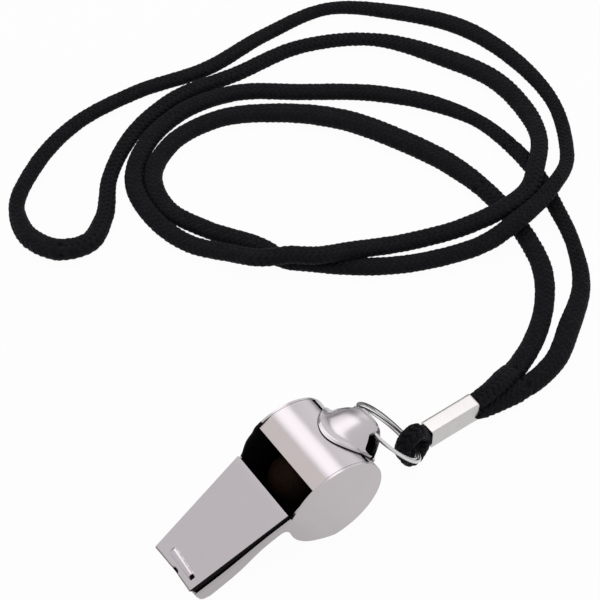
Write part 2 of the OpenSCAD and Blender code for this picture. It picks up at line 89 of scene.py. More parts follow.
# The cover's front: where its fine rows start, its hollow edge, the tuck down at the edge, and how far back
# the painted dark reflection along the edge reaches
FINE_X, PULL_X = -0.0275, -0.0313
HOLLOW, TUCK, TUCK_L, DARK_REFLECTION_L = 0.00018, 0.00028, 0.0004, 0.00034

# Tooth bead, in distances ahead of the drum's axis and along it
BEAD_REAR, BEAD_FRONT, BEAD_SKEW = 0.02945, 0.0312, 0.065
BEAD_LEFT, BEAD_RIGHT, BEAD_H = 0.0031, -0.004, 0.00044
PIT_L, PIT_DEEP = 0.00075, 0.00038
NICK_Y, NICK_HALF, NICK_DEEP = -0.00054, 0.00125, 0.00045
NICK_DENT, DENT_U, DENT_L = 0.0003, 0.0316, 0.0012

# Pea
PEA_R = 0.00525
PEA_AT = (-0.00194, 0.0028, 0.00665)
PIT_SIZE, GRAIN_SIZE, PEA_LESS = 0.0006, 0.00003, 0.00004

# Lug, in its own frame: out from the drum's axis, along it, and along the drum's surface
LUG_ANGLE = math.radians(4)
LUG_Y = -0.0014
SEAT_R = DRUM_R + GAP
FLANGE_T, FLANGE_RIM = 0.0005, 0.00017
FLANGE_HALF, FLANGE_REACH, FLANGE_SHIFT, FLANGE_SWEEP = 0.0073, 0.00775, 0.0008, 86
DOME_HALF, DOME_REACH, DOME_H, DOME_SHIFT = 0.00675, 0.0059, 0.0052, 0.00025
FOOT = 0.0016
LUG_T = 0.0005
DIMPLE, DIMPLE_R, DIMPLE_DEEP = (-0.0045, 0.0034), 0.00042, 0.00028
# The split between the cups, a little wider where the ring runs in it, and open at either end
SPLIT_HALF, SLOT_MORE, SLOT_FROM, SLOT_TO = 0.0004, 0.0003, 0.0019, 0.0024
OPEN_FROM, OPEN_STEP, OPEN_TO, OPEN_SLOPE = 0.0033, 0.0003, 0.007, 0.0019
UPPER_OPEN, LOWER_OPEN = 0.00245, 0.0013
# The lower cup's raised lip on the left, and the outward lean of its edge at the openings
LIP_RISE, LIP_FROM, LIP_TO, LIP_SLOPE, LIP_L = 0.0003, 0.0021, 0.0068, 0.001, 0.0012
LEAN, LEAN_STEP = 0.0006, 0.0006
# Rows of faces painted dark beside the split's left opening, as painted shade, and from where to where
DARK_LOWER = (3, 0.0022, 0.0067)
DARK_UPPER = (5, 0.0024, 0.0066)

# Ring
RING_SLOPE = math.radians(51.2)
RING_R = 0.00825
WIRE_R = 0.00038
# Distance between the middles of its two turns: half way, and how much more or less at the sides
TURN_GAP, TURN_SPRING = 0.00055, 0.00045
RING_START, RING_END, RING_STEP = 24, 716, 3
# Angles between which the wire crosses from the outer turn to the inner one
CROSS_FROM, CROSS_TO = 356, 384

# Ferrule
FERRULE_W, FERRULE_H, FERRULE_T = 0.004, 0.0056, 0.0004
FERRULE_ROUND, FERRULE_CORNER = 0.0009, 0.0005
SEAM_HALF, SEAM_DIP = 0.00008, 0.00014
BITE_REAR, BITE_FRONT, PINCH, FLARE = 0.00055, 0.0002, 0.035, 0.03

# Cord and the yarn stitches of its braid
CORD_W = 0.0042
CORD_T = 0.003
FULL_W, FULL_T = 1.05, 1.07
PITCH = 0.0014
COLUMNS = 10
CORE_SHARE = 0.74
CORE_STEP, CORE_SIDES = 0.0012, 16
STITCH_L, STITCH_W, STITCH_H, STITCH_LEAN = 0.0025, 0.00138, 0.00112, 0.6

# Places of the ferrule and of the cord loop that it holds on the ring
CLIP_Y = -0.0029
FERRULE_Y = CLIP_Y + 0.0003
FAR_WIRE = (0.023246, -0.0022, 0.005382)
FERRULE_X = 0.028546
FERRULE_END = 0.041046
LEG_LOW = 0.00157
LEG_HIGH = 0.00403
LOOP_W, LOOP_T, LOOP_FULL = 0.0046, 0.0027, 1.15
LOOP_REACH, LOOP_RISE, LOOP_LEAN = 0.0024, 0.0025, 0.0024
STUB_RIGHT = (0.054, -0.0047, 0.0018)
STUB_LEFT = (0.054, -0.0001, 0.0019)
STUB_SHARE = 1.1

# Camera and picture
AZIMUTH, ELEVATION, ROLL = -35.3105, 51.7011, -0.1465
CAMERA_AT = Vector((-0.130678, -0.181606, 0.350009))
SENSOR, FOCAL_PX, PICTURE_PX = 36, 2000, 600


def on_floor(x, y, z):
    """Row-frame point of a point in the whistle's frame over the floor."""
    return Vector((x, y, z)) + SHIFT


def own(x, y, z):
    """Row-frame point of a point in the whistle's own frame: x to the rear, z up from the drum's axis."""
    c, s = math.cos(TILT), math.sin(TILT)
    return on_floor(x * c - z * s, y, DRUM_R + z * c + x * s)


def make_camera():
    azimuth, elevation, roll = math.radians(AZIMUTH), math.radians(ELEVATION), math.radians(ROLL)
    back = Vector((
        math.sin(azimuth) * math.cos(elevation),
        -math.cos(azimuth) * math.cos(elevation),
        math.sin(elevation),
    ))
    right = Vector((math.cos(azimuth), math.sin(azimuth), 0))
    up = back.cross(right)
    c, s = math.cos(roll), math.sin(roll)
    right, up = c * right + s * up, c * up - s * right
    data = bpy.data.cameras.new("camera")
    data.sensor_width = SENSOR
    data.lens = SENSOR * FOCAL_PX / PICTURE_PX
    data.clip_start = 0.02
    data.clip_end = 20
    camera = bpy.data.objects.new("camera", data)
    turned = Matrix((right, up, back)).transposed().to_4x4()
    camera.matrix_world = Matrix.Translation(CAMERA_AT + SHIFT) @ turned
    bpy.context.scene.collection.objects.link(camera)
    bpy.context.scene.camera = camera


make_camera()


# Node helpers


def feed(tree, socket, value):
    """Links a socket to the one given as its value, or sets its value."""
    if isinstance(value, bpy.types.NodeSocket):
        tree.links.new(value, socket)
    else:
        socket.default_value = value


def fill(tree, node, *values, **named):
    """Fills a node's settings and inputs by name, and then its inputs in order."""
    for name, value in named.items():
        label = name.replace("_", " ")
        if label in node.inputs:
            feed(tree, node.inputs[label], value)
        else:
            setattr(node, name, value)
    for socket, value in zip(node.inputs, values):
        feed(tree, socket, value)
    return node


def node_of(tree, kind, *values, **named):
    return fill(tree, tree.nodes.new(kind), *values, **named)


def math_of(tree, operation, a, b, **named):
    return node_of(tree, "ShaderNodeMath", a, b, operation=operation, **named).outputs[0]


def mixed(tree, factor, a, b, blend="MIX"):
    """Colour between two colours."""
    mix = node_of(tree, "ShaderNodeMix", data_type="RGBA", blend_type=blend, Factor=factor)
    feed(tree, mix.inputs[6], a)
    feed(tree, mix.inputs[7], b)
    return mix.outputs[2]


def new_group(name, inputs, outputs, kind="ShaderNodeTree"):
    """A node group, with the sockets that give its inputs and those that take its outputs."""
    group = bpy.data.node_groups.new(name, kind)
    for label, sort, value in inputs:
        socket = group.interface.new_socket(label, in_out="INPUT", socket_type="NodeSocket" + sort)
        if value is not None:
            socket.default_value = value
    for label, sort in outputs:
        group.interface.new_socket(label, in_out="OUTPUT", socket_type="NodeSocket" + sort)
    return group, group.nodes.new("NodeGroupInput").outputs, group.nodes.new("NodeGroupOutput").inputs


# Finishes and painted shade


def polish_group():
    """Cloudy polish with hairlines, for every plated sheet and wire."""
    group, given, put = new_group(
        "polish",
        [
            ("Roughness", "Float", 0.2), ("Cloud", "Float", 0.06), ("Cloud Scale", "Float", 140.0),
            ("Hairline", "Float", 0.02),
        ],
        [("Roughness", "Float"), ("Height", "Float"), ("Tone", "Float")],
    )
    place = node_of(group, "ShaderNodeTexCoord").outputs["Object"]
    cloud = node_of(
        group, "ShaderNodeTexNoise", Vector=place, Scale=given["Cloud Scale"], Detail=3.0, Roughness=0.55
    ).outputs[0]
    stretch = node_of(
        group, "ShaderNodeMapping", Vector=place, Scale=(300, 9000, 9000), Rotation=(0.1, 0.3, 0.25)
    ).outputs["Vector"]
    hair = node_of(group, "ShaderNodeTexNoise", Vector=stretch, Scale=1.0, Detail=2.0).outputs[0]
    swing = math_of(group, "MULTIPLY", math_of(group, "SUBTRACT", cloud, 0.5), given["Cloud"])
    streak = math_of(group, "MULTIPLY", hair, given["Hairline"])
    level = math_of(group, "ADD", swing, given["Roughness"])
    feed(group, put["Roughness"], math_of(group, "ADD", level, streak, use_clamp=True))
    feed(group, put["Height"], math_of(group, "ADD", cloud, streak))
    feed(group, put["Tone"], cloud)
    return group


def patches_group():
    """Soft dark and pale patches by place, for matt surfaces."""
    group, given, put = new_group(
        "patches",
        [("Scale", "Float", 400.0), ("Dark", "Color", (0, 0, 0, 1)), ("Pale", "Color", (1, 1, 1, 1))],
        [("Color", "Color"), ("Mask", "Float")],
    )
    place = node_of(group, "ShaderNodeTexCoord").outputs["Object"]
    cloud = node_of(
        group, "ShaderNodeTexNoise", Vector=place, Scale=given["Scale"], Detail=4.0, Roughness=0.6
    ).outputs[0]
    feed(group, put["Color"], mixed(group, cloud, given["Dark"], given["Pale"]))
    feed(group, put["Mask"], cloud)
    return group


def painted_shade_group():
    """Painted shade: duller tone along one way of the object, falling from full at near to least at far."""
    group, given, put = new_group(
        "painted_shade",
        [
            ("Color", "Color", (1, 1, 1, 1)), ("Way", "Vector", (1, 0, 0)), ("Near", "Float", 0.0),
            ("Far", "Float", 0.01), ("Least", "Float", 0.9),
        ],
        [("Color", "Color")],
    )
    place = node_of(group, "ShaderNodeTexCoord").outputs["Object"]
    along = node_of(group, "ShaderNodeVectorMath", place, given["Way"], operation="DOT_PRODUCT")
    fall = node_of(
        group, "ShaderNodeMapRange", interpolation_type="SMOOTHSTEP", Value=along.outputs["Value"],
        From_Min=given["Near"], From_Max=given["Far"], To_Min=1.0, To_Max=given["Least"],
    ).outputs["Result"]
    feed(group, put["Color"], mixed(group, 1.0, given["Color"], fall, "MULTIPLY"))
    return group


POLISH = polish_group()
PATCHES = patches_group()
PAINTED_SHADE = painted_shade_group()


def new_material(name):
    material = bpy.data.materials.new(name)
    material.use_nodes = True
    return material, material.node_tree, material.node_tree.nodes["Principled BSDF"]


def metal(name, dark, pale, roughness, cloud_scale=140.0, hairline=0.02, painted_shade=None):
    """Plated metal: dark and pale are the ends of its cloudy colour. Its last argument, a painted shade, is
    (way, near, far, least): its tone falls to least from near to far along a way."""
    material, tree, shader = new_material(name)
    polish = node_of(
        tree, "ShaderNodeGroup", node_tree=POLISH, Roughness=roughness, Cloud=0.05, Cloud_Scale=cloud_scale,
        Hairline=hairline,
    ).outputs
    tone = mixed(tree, polish["Tone"], (*dark, 1), (*pale, 1))
    if painted_shade:
        way, near, far, least = painted_shade
        tone = node_of(
            tree, "ShaderNodeGroup", node_tree=PAINTED_SHADE, Color=tone, Way=way, Near=near, Far=far, Least=least
        ).outputs["Color"]
    bump = node_of(tree, "ShaderNodeBump", Strength=0.35, Distance=0.000004, Height=polish["Height"])
    fill(
        tree, shader, Metallic=1.0, Base_Color=tone, Roughness=polish["Roughness"],
        Normal=bump.outputs["Normal"],
    )
    return material


def matt(name, dark, pale, roughness, scale, bump=0.00002, specular=0.3):
    """Matt surface with patches between its dark and its pale colour."""
    material, tree, shader = new_material(name)
    patches = node_of(
        tree, "ShaderNodeGroup", node_tree=PATCHES, Scale=scale, Dark=(*dark, 1), Pale=(*pale, 1)
    ).outputs
    height = node_of(tree, "ShaderNodeBump", Strength=0.5, Distance=bump, Height=patches["Mask"])
    fill(
        tree, shader, Roughness=roughness, Specular_IOR_Level=specular, Base_Color=patches["Color"],
        Normal=height.outputs["Normal"],
    )
    return material


def braid_material():
    """Black yarn: each stitch has its own tone and fine fibres."""
    material, tree, shader = new_material("braid")
    tone = node_of(tree, "ShaderNodeAttribute", attribute_name="tone").outputs["Fac"]
    shade = node_of(tree, "ShaderNodeMapRange", Value=tone, To_Min=0.55, To_Max=1.5).outputs["Result"]
    fibres = node_of(
        tree, "ShaderNodeGroup", node_tree=PATCHES, Scale=3500.0, Dark=(0.0012, 0.0012, 0.0018, 1),
        Pale=(0.0045, 0.0042, 0.0068, 1),
    ).outputs
    height = node_of(tree, "ShaderNodeBump", Strength=0.6, Distance=0.00006, Height=fibres["Mask"])
    fill(
        tree, shader, Roughness=0.7, Specular_IOR_Level=0.12, Sheen_Weight=0.05, Sheen_Roughness=0.45,
        Sheen_Tint=(0.35, 0.35, 0.42, 1), Base_Color=mixed(tree, 1.0, fibres["Color"], shade, "MULTIPLY"),
        Normal=height.outputs["Normal"],
    )
    return material


NICKEL = metal("nickel_plate", (0.475, 0.438, 0.458), (0.51, 0.475, 0.5), 0.25)
# The side discs' nickel darkens towards their front and bottom: painted shade
DISC = metal(
    "nickel_side", (0.47, 0.435, 0.45), (0.51, 0.475, 0.49), 0.25,
    painted_shade=((-0.75, 0.0, -0.45), -0.012, 0.006, 0.8),
)
# Dark grey painted shade, for thin dark lines along flanks, rims and splits
SHADE_LINE = metal("painted_shade_line", (0.05, 0.045, 0.043), (0.1, 0.09, 0.088), 0.35, cloud_scale=700.0)
# Dull dark grey painted reflection, along the cover's front edge
DARK_REFLECTION = metal("painted_dark_reflection", (0.2, 0.18, 0.17), (0.3, 0.27, 0.26), 0.4, cloud_scale=600.0)
STRIP = metal("nickel_strip", (0.53, 0.475, 0.47), (0.57, 0.52, 0.515), 0.24)
WIRE = metal("ring_wire", (0.56, 0.55, 0.56), (0.68, 0.67, 0.68), 0.16, cloud_scale=900.0)
SLEEVE = metal(
    "ferrule_steel", (0.5, 0.48, 0.48), (0.58, 0.56, 0.56), 0.28, cloud_scale=500.0, hairline=0.05
)
BRAID = braid_material()
CORK = matt("cork", (0.012, 0.006, 0.004), (0.06, 0.031, 0.019), 0.85, 700.0, bump=0.0002, specular=0.15)
# Near-black painted shade, for insides, recesses, gaps and pits where shade falls
SHADE_BLACK = matt("painted_shade_black", (0.005, 0.0042, 0.004), (0.011, 0.009, 0.008), 0.8, 300.0, specular=0.05)


# Cord routes: points in the whistle's frame over the floor, in metres, each with the share of the cord's
# usual size it has there. The first and last point only steer the ends, and each stretch takes its ends
# from the next.

NECK_RIGHT = [
    (0.0954, 0.043, 0.0016, 0.96), (0.0959, 0.05196, 0.0016, 0.92), (0.09457, 0.06254, 0.0016, 0.84),
    (0.08932, 0.07324, 0.00169, 1.02), (0.08017, 0.0839, 0.00174, 1.05), (0.0655, 0.095, 0.00172, 1.04),
    (0.05222, 0.10397, 0.00172, 1.04), (0.04037, 0.10619, 0.00172, 1.04),
    (0.02663, 0.10257, 0.00172, 1.04), (0.01713, 0.0938, 0.00172, 1.04),
    (0.0148, 0.08247, 0.00172, 1.04), (0.01695, 0.07141, 0.00172, 1.04),
    (0.0227, 0.06176, 0.00332, 1.04), (0.0268, 0.0554, 0.00512, 1.04),
    (0.03231, 0.05233, 0.00532, 1.04), (0.03686, 0.04902, 0.00512, 1.04),
    (0.04437, 0.04679, 0.00372, 1.04), (0.0581, 0.04212, 0.00192, 1.04),
    (0.06978, 0.03727, 0.00372, 1.04), (0.0806, 0.03533, 0.00522, 1.04),
    (0.08789, 0.03654, 0.00509, 1.02), (0.09497, 0.04176, 0.00514, 0.99),
    (0.10149, 0.04858, 0.0036, 0.96), (0.1056, 0.05776, 0.00195, 1.12),
    (0.10615, 0.07073, 0.00197, 1.19), (0.10075, 0.08405, 0.00198, 1.2), (0.09105, 0.099, 0.0016, 0.87),
    (0.07474, 0.10771, 0.0016, 0.92), (0.05605, 0.10918, 0.0016, 0.95),
    (0.03975, 0.11081, 0.00164, 0.99), (0.02647, 0.10752, 0.0016, 0.93),
    (0.01353, 0.09855, 0.0016, 0.86), (0.00515, 0.08815, 0.00168, 1.01),
    (-0.00118, 0.08407, 0.00195, 1.18), (-0.00746, 0.0858, 0.00211, 1.28),
    (-0.01129, 0.09275, 0.00198, 1.2),
]
NECK_LEFT = [
    *NECK_RIGHT[-3:], (-0.00957, 0.10205, 0.0016, 0.87), (0.00104, 0.11154, 0.0016, 0.9),
    (0.01519, 0.11748, 0.0016, 0.88), (0.0332, 0.11812, 0.0016, 0.9), (0.05141, 0.11487, 0.0016, 0.94),
    (0.06952, 0.11618, 0.0016, 0.88), (0.08842, 0.1145, 0.0016, 0.83), (0.1009, 0.10387, 0.00169, 1.02),
    (0.11096, 0.08985, 0.00182, 1.1), (0.11473, 0.0719, 0.00163, 0.98), (0.11277, 0.05602, 0.0016, 0.8),
    (0.10722, 0.04534, 0.0018, 0.8), (0.1015, 0.03866, 0.0034, 0.8), (0.09448, 0.03454, 0.0051, 0.87),
    (0.08792, 0.03237, 0.00501, 0.97), (0.08072, 0.03081, 0.00522, 1.04),
    (0.07154, 0.03063, 0.00372, 1.04), (0.06097, 0.03435, 0.00182, 1.04),
    (0.04934, 0.03981, 0.00172, 1.04), (0.04097, 0.04589, 0.00172, 1.04),
    (0.03616, 0.05034, 0.00172, 1.04), (0.0326, 0.05364, 0.00172, 1.04),
    (0.03001, 0.06059, 0.00172, 1.04), (0.02296, 0.07184, 0.00172, 1.04),
    (0.01907, 0.08217, 0.00172, 1.04), (0.02156, 0.09256, 0.00172, 1.04),
    (0.03053, 0.0988, 0.00172, 1.04), (0.04378, 0.09916, 0.00182, 1.1),
    (0.05739, 0.09198, 0.00197, 1.19), (0.06787, 0.08175, 0.00215, 1.3),
    (0.07527, 0.06844, 0.00215, 1.3), (0.08052, 0.05414, 0.00206, 1.25),
    (0.08198, 0.04548, 0.00185, 1.12), (0.08193, 0.0369, 0.00181, 1.09),
]
LEAD_RIGHT = [
    (0.0475, -0.0041, 0.0018, 1.1), (*STUB_RIGHT, STUB_SHARE), (0.06334, -0.00304, 0.00185, 1.12),
    (0.07212, 0.00242, 0.00192, 1.16), (0.08171, 0.00971, 0.0016, 0.96),
    (0.08838, 0.02041, 0.0016, 0.82), (0.09243, 0.03201, 0.0016, 0.92), *NECK_RIGHT[:3],
]
LEAD_LEFT = [
    (0.0475, -0.0016, 0.0029, 1.1), (*STUB_LEFT, STUB_SHARE), (0.06219, 0.00343, 0.00161, 1.07),
    (0.07107, 0.00992, 0.00171, 1.03), (0.07765, 0.0184, 0.00179, 1.08),
    (0.08076, 0.02795, 0.00179, 1.08), *NECK_LEFT[:-4:-1],
]


def steer(p, i):
    """Way of a route at one of its points."""
    a, b = p[i] - p[i - 1], p[i + 1] - p[i]
    return (a * (b.length / a.length) + b * (a.length / b.length)) / (a.length + b.length)


def smooth_run(points, sizes, step=0.0005):
    """Fine stations (place, width, thickness) along a route whose first and last points only steer."""
    p = [on_floor(*q) for q in points]
    run = []
    for i in range(1, len(p) - 2):
        span = (p[i + 1] - p[i]).length
        m, n = steer(p, i) * span, steer(p, i + 1) * span
        count = max(2, round(span / step))
        for k in range(count + (i == len(p) - 3)):
            t = k / count
            place = (
                p[i] * (2 * t**3 - 3 * t**2 + 1) + m * (t**3 - 2 * t**2 + t)
                + p[i + 1] * (3 * t**2 - 2 * t**3) + n * (t**3 - t**2)
            )
            w, h = (a + t * (b - a) for a, b in zip(sizes[i], sizes[i + 1]))
            run.append((place, w, h))
    return run


def run_length(run):
    return sum((b[0] - a[0]).length for a, b in zip(run, run[1:]))


def spaced(run, pitch):
    """Stations at a near-even pitch along a run."""
    total = run_length(run)
    count = max(2, round(total / pitch))
    out, travelled, k = [], 0.0, 0
    for a, b in zip(run, run[1:]):
        span = (b[0] - a[0]).length
        while k <= count and k * total / count <= travelled + span + 1e-9:
            t = min(1.0, (k * total / count - travelled) / span)
            out.append((a[0].lerp(b[0], t), a[1] + t * (b[1] - a[1]), a[2] + t * (b[2] - a[2])))
            k += 1
        travelled += span
    return out


def frames_of(stations, flat):
    """(place, along, side, up, width, thickness) for each station. flat cords keep their side level."""
    out = []
    for i, (place, w, h) in enumerate(stations):
        along = (stations[min(i + 1, len(stations) - 1)][0] - stations[max(i - 1, 0)][0]).normalized()
        if flat:
            side = Vector((0, 0, 1)).cross(along).normalized()
        else:
            side = (Vector((0, 1, 0)) - along.y * along).normalized()
        out.append((place, along, side, along.cross(side), w, h))
    return out


def section(angle, w, h):
    """Point of the cord's rounded flat section, and its outward normal, as shares of side and up."""
    boxy = 0.85
    c, s = math.cos(angle), math.sin(angle)
    x = w / 2 * math.copysign(abs(c) ** boxy, c)
    y = h / 2 * math.copysign(abs(s) ** boxy, s)
    nx, ny = c / w, s / h
    size = math.hypot(nx, ny)
    return x, y, nx / size, ny / size


def even_angles(count, w, h):
    """Angles that share the section's outline evenly."""
    fine = 360
    points = [section(2 * math.pi * k / fine, w, h)[:2] for k in range(fine + 1)]
    lengths = [0.0]
    for a, b in zip(points, points[1:]):
        lengths.append(lengths[-1] + math.hypot(b[0] - a[0], b[1] - a[1]))
    angles, k = [], 0
    for c in range(count):
        want = lengths[-1] * (c + 0.5) / count
        while lengths[k] < want:
            k += 1
        angles.append(2 * math.pi * k / fine)
    return angles


def tube_faces(rings, sides):
    """Faces of a closed tube of rings of points."""
    faces = []
    for r in range(rings - 1):
        for k in range(sides):
            a, b = r * sides + k, r * sides + (k + 1) % sides
            faces.append((a, b, b + sides, a + sides))
    last = (rings - 1) * sides
    return faces + [tuple(range(sides - 1, -1, -1)), tuple(last + k for k in range(sides))]


def new_piece(name, mesh):
    piece = bpy.data.objects.new(name, mesh)
    bpy.context.scene.collection.objects.link(piece)
    return piece


def cord_base(name, run, flat):
    """A closed core tube, and a loose vertex with its directions for every stitch on it."""
    verts = []
    core = frames_of(spaced(run, CORE_STEP), flat)
    for place, along, side, up, w, h in core:
        for k in range(CORE_SIDES):
            x, y, _, _ = section(2 * math.pi * k / CORE_SIDES, w * CORE_SHARE, h * CORE_SHARE)
            verts.append(place + side * x + up * y)
    solid = len(verts)
    outs = [(0, 0, 1)] * solid
    alongs = [(1, 0, 0)] * solid
    leans = [0.0] * solid
    girths = [1.0] * solid
    rows = frames_of(spaced(run, PITCH), flat)
    half_rows = frames_of(spaced(run, PITCH / 2), flat)
    for c, angle in enumerate(even_angles(COLUMNS, CORD_W, CORD_T)):
        shifted = c % 2
        for place, along, side, up, w, h in half_rows[1::2] if shifted else rows[1:-1]:
            x, y, nx, ny = section(angle, w, h)
            out = side * nx + up * ny
            size = (w / CORD_W + h / CORD_T) / 2
            verts.append(place + side * x + up * y - out * (STITCH_H * size / 2))
            outs.append(tuple(out))
            alongs.append(tuple(along))
            leans.append(1.0 if shifted else -1.0)
            girths.append(size)
    mesh = bpy.data.meshes.new(name)
    mesh.from_pydata([tuple(v) for v in verts], [], tube_faces(len(core), CORE_SIDES))
    site = mesh.attributes.new("site", "BOOLEAN", "POINT")
    site.data.foreach_set("value", [i >= solid for i in range(len(verts))])
    for label, values in (("out", outs), ("along", alongs)):
        attribute = mesh.attributes.new(label, "FLOAT_VECTOR", "POINT")
        attribute.data.foreach_set("vector", [x for v in values for x in v])
    for label, values in (("lean", leans), ("girth", girths)):
        attribute = mesh.attributes.new(label, "FLOAT", "POINT")
        attribute.data.foreach_set("value", values)
    mesh.shade_smooth()
    return new_piece(name, mesh)


def braid_tree():
    """Geometry Nodes that lay a leaning yarn stitch on each marked vertex of a cord's core."""
    tree, given, put = new_group(
        "braid_stitches",
        [
            ("Geometry", "Geometry", None), ("Stitch Length", "Float", STITCH_L),
            ("Stitch Width", "Float", STITCH_W), ("Stitch Height", "Float", STITCH_H),
            ("Lean", "Float", STITCH_LEAN), ("Size Jitter", "Float", 0.12), ("Seed", "Int", 3),
            ("Material", "Material", None),
        ],
        [("Geometry", "Geometry")],
        "GeometryNodeTree",
    )

    def named(label, kind):
        return node_of(tree, "GeometryNodeInputNamedAttribute", data_type=kind, Name=label).outputs[0]

    def by_chance():
        return node_of(tree, "FunctionNodeRandomValue", data_type="FLOAT", Seed=given["Seed"])

    parts = node_of(
        tree, "GeometryNodeSeparateGeometry", domain="POINT", Geometry=given["Geometry"],
        Selection=named("site", "BOOLEAN"),
    ).outputs
    yarn = node_of(tree, "GeometryNodeMeshUVSphere", Segments=8, Rings=5, Radius=1.0).outputs["Mesh"]
    smooth = node_of(tree, "GeometryNodeSetShadeSmooth", Geometry=yarn).outputs[0]

    turn = math_of(tree, "MULTIPLY", named("lean", "FLOAT"), given["Lean"])
    out = named("out", "FLOAT_VECTOR")
    aim = node_of(
        tree, "ShaderNodeVectorRotate", rotation_type="AXIS_ANGLE", Vector=named("along", "FLOAT_VECTOR"),
        Axis=out, Angle=turn,
    ).outputs["Vector"]
    lying = node_of(tree, "FunctionNodeAlignRotationToVector", axis="Z", Vector=aim).outputs["Rotation"]
    facing = node_of(
        tree, "FunctionNodeAlignRotationToVector", axis="X", pivot_axis="Z", Rotation=lying, Vector=out
    ).outputs["Rotation"]

    labels = ("Stitch Height", "Stitch Width", "Stitch Length")
    halves = [math_of(tree, "MULTIPLY", given[label], 0.5) for label in labels]
    size = node_of(tree, "ShaderNodeCombineXYZ", *halves).outputs["Vector"]
    jitter = by_chance()
    feed(tree, jitter.inputs[2], math_of(tree, "SUBTRACT", 1.0, given["Size Jitter"]))
    jitter.inputs[3].default_value = 1.0
    grown = math_of(tree, "MULTIPLY", jitter.outputs[1], named("girth", "FLOAT"))
    scaled = node_of(tree, "ShaderNodeVectorMath", size, operation="SCALE", Scale=grown).outputs["Vector"]

    laid = node_of(
        tree, "GeometryNodeInstanceOnPoints", Points=parts["Selection"], Instance=smooth, Rotation=facing,
        Scale=scaled,
    ).outputs["Instances"]
    toned = node_of(
        tree, "GeometryNodeStoreNamedAttribute", data_type="FLOAT", domain="INSTANCE", Geometry=laid,
        Name="tone", Value=by_chance().outputs[1],
    ).outputs["Geometry"]
    real = node_of(tree, "GeometryNodeRealizeInstances", Geometry=toned).outputs["Geometry"]
    join = node_of(tree, "GeometryNodeJoinGeometry", Geometry=parts["Inverted"])
    feed(tree, join.inputs["Geometry"], real)
    paint = node_of(
        tree, "GeometryNodeSetMaterial", Geometry=join.outputs["Geometry"], Material=given["Material"]
    )
    feed(tree, put["Geometry"], paint.outputs["Geometry"])
    return tree


BRAID_TREE = braid_tree()


def set_inputs(modifier, values):
    """Sets a Geometry Nodes modifier's inputs by their sockets' identifiers."""
    for item in modifier.node_group.interface.items_tree:
        if item.item_type == "SOCKET" and item.in_out == "INPUT" and item.name in values:
            modifier[item.identifier] = values[item.name]


def finished_mesh(obj):
    """The plain mesh that an object's modifiers give."""
    bpy.context.view_layer.update()
    made = obj.evaluated_get(bpy.context.evaluated_depsgraph_get())
    return bpy.data.meshes.new_from_object(made)


def braided(name, run, seed, flat):
    """The braided cord as one plain mesh."""
    base = cord_base(name + "_base", run, flat)
    modifier = base.modifiers.new("braid", "NODES")
    modifier.node_group = BRAID_TREE
    set_inputs(modifier, {"Seed": seed, "Material": BRAID})
    mesh = finished_mesh(base)
    bpy.data.objects.remove(base)
    for label in ("site", "out", "along", "lean", "girth"):
        attribute = mesh.attributes.get(label)
        if attribute:
            mesh.attributes.remove(attribute)
    mesh.name = name
    return new_piece(name, mesh)


def fan(stub, leg_z, share):
    """A place part of the way from the ferrule's end to a stub."""
    start = (FERRULE_END, CLIP_Y, leg_z)
    return tuple(start[k] + share[k] * (stub[k] - start[k]) for k in range(3))


def bight_run():
    """From the right stub through the ferrule, round the ring's far wire and back to the left stub."""
    squeezed = (0.0028, 0.00235)
    swelling = (0.0035, 0.0029)
    full = (CORD_W * 1.15, CORD_T * 1.17)
    front_x = FERRULE_X - 0.00094
    in_x, out_x = FERRULE_X + CORD_T, FERRULE_END - 0.001
    puff_x = FERRULE_END + 0.0009
    drop = FAR_WIRE[2] - LOOP_T * 0.55
    # Shares of the reach, the lean, the rise or else the drop, the width and the thickness
    loop = [
        (1.31, 0.5, -1, 0.87, 1), (0.4, 0.83, -1, 1, 1), (-0.52, 1, -0.85, 1, 0.93),
        (-0.98, 0.96, -0.38, 0.96, 0.81), (-0.94, 0.83, 0.21, 0.91, 0.81), (-0.44, 0.71, 0.81, 0.91, 0.81),
        (0.31, 0.58, 1, 0.91, 0.81), (1.06, 0.42, 0.69, 0.87, 0.89), (1.5, 0.33, 0.02, 0.74, 0.89),
    ]
    places = [
        (STUB_RIGHT, full),
        (fan(STUB_RIGHT, LEG_LOW, (0.75, 1.0, 0.6)), full),
        (fan(STUB_RIGHT, LEG_LOW, (0.4, 0.75, 0.5)), (CORD_W * 1.08, CORD_T * 1.12)),
        ((puff_x, CLIP_Y - 0.0007, LEG_LOW + 0.0001), (CORD_W, CORD_T * 1.08)),
        ((out_x, CLIP_Y, LEG_LOW), squeezed),
        ((in_x, CLIP_Y, LEG_LOW), squeezed),
        ((front_x, CLIP_Y, LEG_LOW), swelling),
    ]
    for reach, lean, rise, wide, thick in loop:
        spot = (
            FAR_WIRE[0] + reach * LOOP_REACH,
            FAR_WIRE[1] - lean * LOOP_LEAN,
            FAR_WIRE[2] + rise * (LOOP_RISE if rise > 0 else drop),
        )
        places.append((spot, (wide * LOOP_W, thick * LOOP_T * LOOP_FULL)))
    places += [
        ((front_x, CLIP_Y, LEG_HIGH), swelling),
        ((in_x, CLIP_Y, LEG_HIGH), squeezed),
        ((out_x, CLIP_Y, LEG_HIGH), squeezed),
        ((puff_x, CLIP_Y + 0.0003, LEG_HIGH), (CORD_W, CORD_T)),
        (fan(STUB_LEFT, LEG_HIGH, (0.4, 0.25, -0.05)), (CORD_W * 1.05, CORD_T * 1.05)),
        (fan(STUB_LEFT, LEG_HIGH, (0.75, 0.7, 0.4)), full),
        (STUB_LEFT, full),
    ]
    first = tuple(2 * a - b for a, b in zip(STUB_RIGHT, LEAD_RIGHT[2]))
    last = tuple(2 * a - b for a, b in zip(STUB_LEFT, LEAD_LEFT[2]))
    places = [(first, full)] + places + [(last, full)]
    return smooth_run([p for p, _ in places], [s for _, s in places], step=0.0003)


def free_run(points):
    sizes = [(CORD_W * FULL_W * share, CORD_T * FULL_T * share) for _, _, _, share in points]
    return smooth_run([place for *place, _ in points], sizes)


